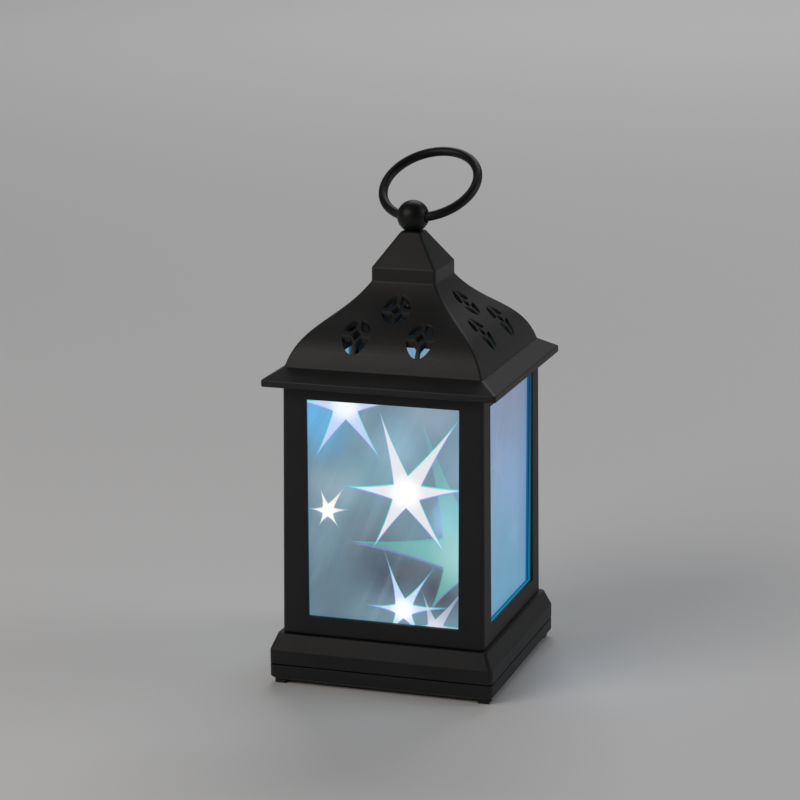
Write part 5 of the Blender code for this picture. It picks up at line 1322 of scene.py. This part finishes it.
hollow = [(ROOF_OPENING, ROOF_BOTTOM - ROOF_WALL), (ROOF_OPENING, first_height - ROOF_OPENING + first_half)]
hollow += [*inner, (collar_inside, last_height + last_half - collar_inside), (collar_inside, COLLAR_TOP)]
hollow += [(tip_half, spire_ceiling)]
carve(roof, tower(hollow, ROOF_CORNER * 0.5))
for x, y in ROOF_SCREWS:
    top = min(height for half, height in bell_line(0) if half < ROOF_SCREW_PLACE + SCREW_BOSS) - BOSS_DROP
    weld(roof, bar(SCREW_BOSS, (x, y, CORNER_TOP + CLEARANCE), (x, y, top)))
holes = uprights(SCREW_HOLE, ROOF_SCREWS, CORNER_TOP - CLEARANCE, CORNER_TOP + ROOF_SCREW_DEPTH, 24)
carve(roof, *holes, rod(FINIAL_SCREW_HOLE, spire_ceiling - CLEARANCE, SPIRE_TOP + CLEARANCE, 24))
rosette = rod(ROSETTE_RADIUS, BRIM_SHOULDER, COLLAR_TOP, 48)
long, thin = 2 * ROSETTE_RADIUS, ROSETTE_BAR
carve(rosette, slab(long, thin, 0, 1))
carve(rosette, slab(thin, long, 0, 1))
carve(rosette, rod(DIAMOND_OUTER, 0, 1, 4))
weld(rosette, rod(DIAMOND_INNER, BRIM_SHOULDER, COLLAR_TOP, 4))
cutters = []
for quarter in range(4):
    turn = Matrix.Rotation(quarter * math.pi / 2, 4, "Z")
    cutters += [twin(rosette, turn @ Matrix.Translation((x, y, 0))) for x, y in ROSETTE_PLACES]
carve(roof, *cutters)
drop_piece(rosette)
soften(roof, 0.0003, 2, 28)
roof_plastic = moulded_plastic(
    "roof_plastic", (0.0058, 0.0052, 0.0050), (0.0088, 0.0078, 0.0074), (0.46, 0.60), 0.50
)
finish(roof, "roof", roof_plastic, "roof_shell")

# The finial. A satin black ball drawn down on the roof's tip by a screw and washer from inside,
# with a round socket at each side where the ring's ends go in.
BALL_RADIUS = 0.0075
BALL_CENTRE = Vector((0, 0, 0.214806))
BALL_SEAT = SPIRE_TOP + CLEARANCE
FINIAL_TURN = math.radians(-8.6)
RING_THICK = 0.00215
RING_RADIUS = 0.02274
RING_REACH_IN = 0.006
PIN_RADIUS = 0.0012
PIN_DEPTH = 0.0028
BALL_REACH = 0.01
SOCKET_PLAY = 0.0005
SOCKET_END = 0.012
PIN_HOLE_END = 0.0066
FINIAL_SCREW_DEPTH = 0.0055
satin_black = moulded_plastic(
    "finial_plastic", (0.0012, 0.0010, 0.0009), (0.0022, 0.0018, 0.0016), (0.40, 0.50), 0.32,
    0.00001, 0.12, 0.00025,
)
bpy.ops.mesh.primitive_uv_sphere_add(segments=96, ring_count=64, radius=BALL_RADIUS, location=BALL_CENTRE)
ball = settle()
carve(ball, slab(BALL_REACH, BALL_REACH, BALL_SEAT - BALL_REACH, BALL_SEAT))
pin_line = Matrix.Rotation(FINIAL_TURN, 3, "Z") @ Vector((1, 0, 0))
socket_floor = RING_REACH_IN - RING_THICK * RING_REACH_IN / RING_RADIUS - CLEARANCE
for side in (-1, 1):
    line = side * pin_line
    start, end = BALL_CENTRE + line * socket_floor, BALL_CENTRE + line * SOCKET_END
    carve(ball, bar(RING_THICK + SOCKET_PLAY, start, end))
    blind = RING_REACH_IN - PIN_DEPTH - CLEARANCE
    start, end = BALL_CENTRE + line * blind, BALL_CENTRE + line * PIN_HOLE_END
    carve(ball, bar(PIN_RADIUS + CLEARANCE, start, end, 24))
carve(ball, rod(FINIAL_SCREW_HOLE, BALL_SEAT - CLEARANCE, BALL_SEAT + FINIAL_SCREW_DEPTH, 24))
soften(ball, 0.0002, 3)
finish(ball, "ball", satin_black, "finial_ball", body="finial")
washer_low, washer_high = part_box("finial_washer")
washer = rod(washer_high.x, washer_low.z, washer_high.z, 48)
carve(washer, rod(FINIAL_SCREW_HOLE, washer_low.z - PAST, washer_high.z + PAST, 32))
soften(washer, 0.0001)
finish(washer, "washer", zinc_steel, "finial_washer", body="finial")

# The ring. A round satin black ring, open where its two ends step down to stub pins that snap into
# the ball. It leans back on the friction of the pins.
RING_LEAN = math.radians(56)
gap = math.asin(RING_REACH_IN / RING_RADIUS)
drop = math.sqrt(RING_RADIUS**2 - RING_REACH_IN**2)
bpy.ops.mesh.primitive_circle_add(vertices=28, radius=RING_THICK, fill_type="NGON",
                                  location=(RING_RADIUS, 0, drop), rotation=(0, 0, 0))
ring = settle()
ring.data.transform(Matrix.Translation((0, 0, drop)) @ Matrix.Rotation(math.pi / 2 - gap, 4, "Y")
                    @ Matrix.Translation((0, 0, -drop)))
edit()
bpy.ops.mesh.spin(steps=128, angle=2 * math.pi - 2 * gap, center=(0, 0, drop), axis=(0, 1, 0))
face_outwards()
end_edit()
for side in (-1, 1):
    inner_end, outer_end = side * (RING_REACH_IN - PIN_DEPTH), side * (RING_REACH_IN + RING_THICK / 2)
    weld(ring, bar(PIN_RADIUS, (inner_end, 0, 0), (outer_end, 0, 0), 24))
ring.data.transform(Matrix.Translation(BALL_CENTRE) @ Matrix.Rotation(FINIAL_TURN, 4, "Z")
                    @ Matrix.Rotation(-RING_LEAN, 4, "X"))
finish(ring, "carry_ring", satin_black, "ring", body="ring", angle=40)

# The screws. Zinc-plated pan-head screws with crossed recesses: four up into the roof, four through
# the plinth's top, four in the lid's wells, two on the board and one in the finial.


def pan_head_screw(head, rise, shank, length):
    """A screw along +Z, with the flat side of its head at the origin."""
    made = rod(head, -rise, 0)
    round_edges(rise * 0.8, 5, lambda a, b: max(a.z, b.z) < -rise * 0.9)
    weld(made, rod(shank, -rise / 4, length * 0.85, 28))
    weld(made, rod(shank, length * 0.85 - 0.0001, length, 28, shank * 0.4))
    arm, thin = head * 0.55, head * 0.13
    carve(made, slab(arm, thin, -2 * rise, -rise * 0.45))
    carve(made, slab(thin, arm, -2 * rise, -rise * 0.45))
    soften(made, 0.00008, 1, 40)
    return made


panhead = pan_head_screw(0.0026, 0.0017, 0.0013, 0.0095)
sets = (
    ("roof_screw", ROOF_SCREWS, CORNER_TOP - GUSSET_THICKNESS - CLEARANCE, 1.0),
    ("body_screw", BODY_SCREWS, ceiling - CLEARANCE, 1.0),
    ("lid_screw", LID_SCREWS, seat - CLEARANCE, 0.009 / 0.0095),
)
for name, places, height, stretch in sets:
    for spot, (x, y) in zip(SPOTS, places):
        screw = twin(panhead, Matrix.Translation((x, y, height)) @ Matrix.Diagonal((1, 1, stretch, 1)))
        finish(screw, f"{name}_head_{spot}", zinc_steel, f"{name}_{spot}")
drop_piece(panhead)
small = pan_head_screw(0.0019, 0.0012, 0.0009, 0.0042)
for number, x in enumerate((-BOARD_SCREW_X, BOARD_SCREW_X), 1):
    place = Matrix.Translation((x, SWITCH_Y, board_high.z + CLEARANCE)) @ Matrix.Rotation(math.pi, 4, "X")
    screw = twin(small, place)
    finish(screw, f"small_screw_{number}", zinc_steel, f"board_screw_{number}")
drop_piece(small)
finial_screw = pan_head_screw(0.0028, 0.0018, 0.0014, 0.0085)
finial_screw.data.transform(Matrix.Translation((0, 0, washer_low.z - CLEARANCE)))
finish(finial_screw, "finial_screw_head", zinc_steel, "finial_screw", body="finial")
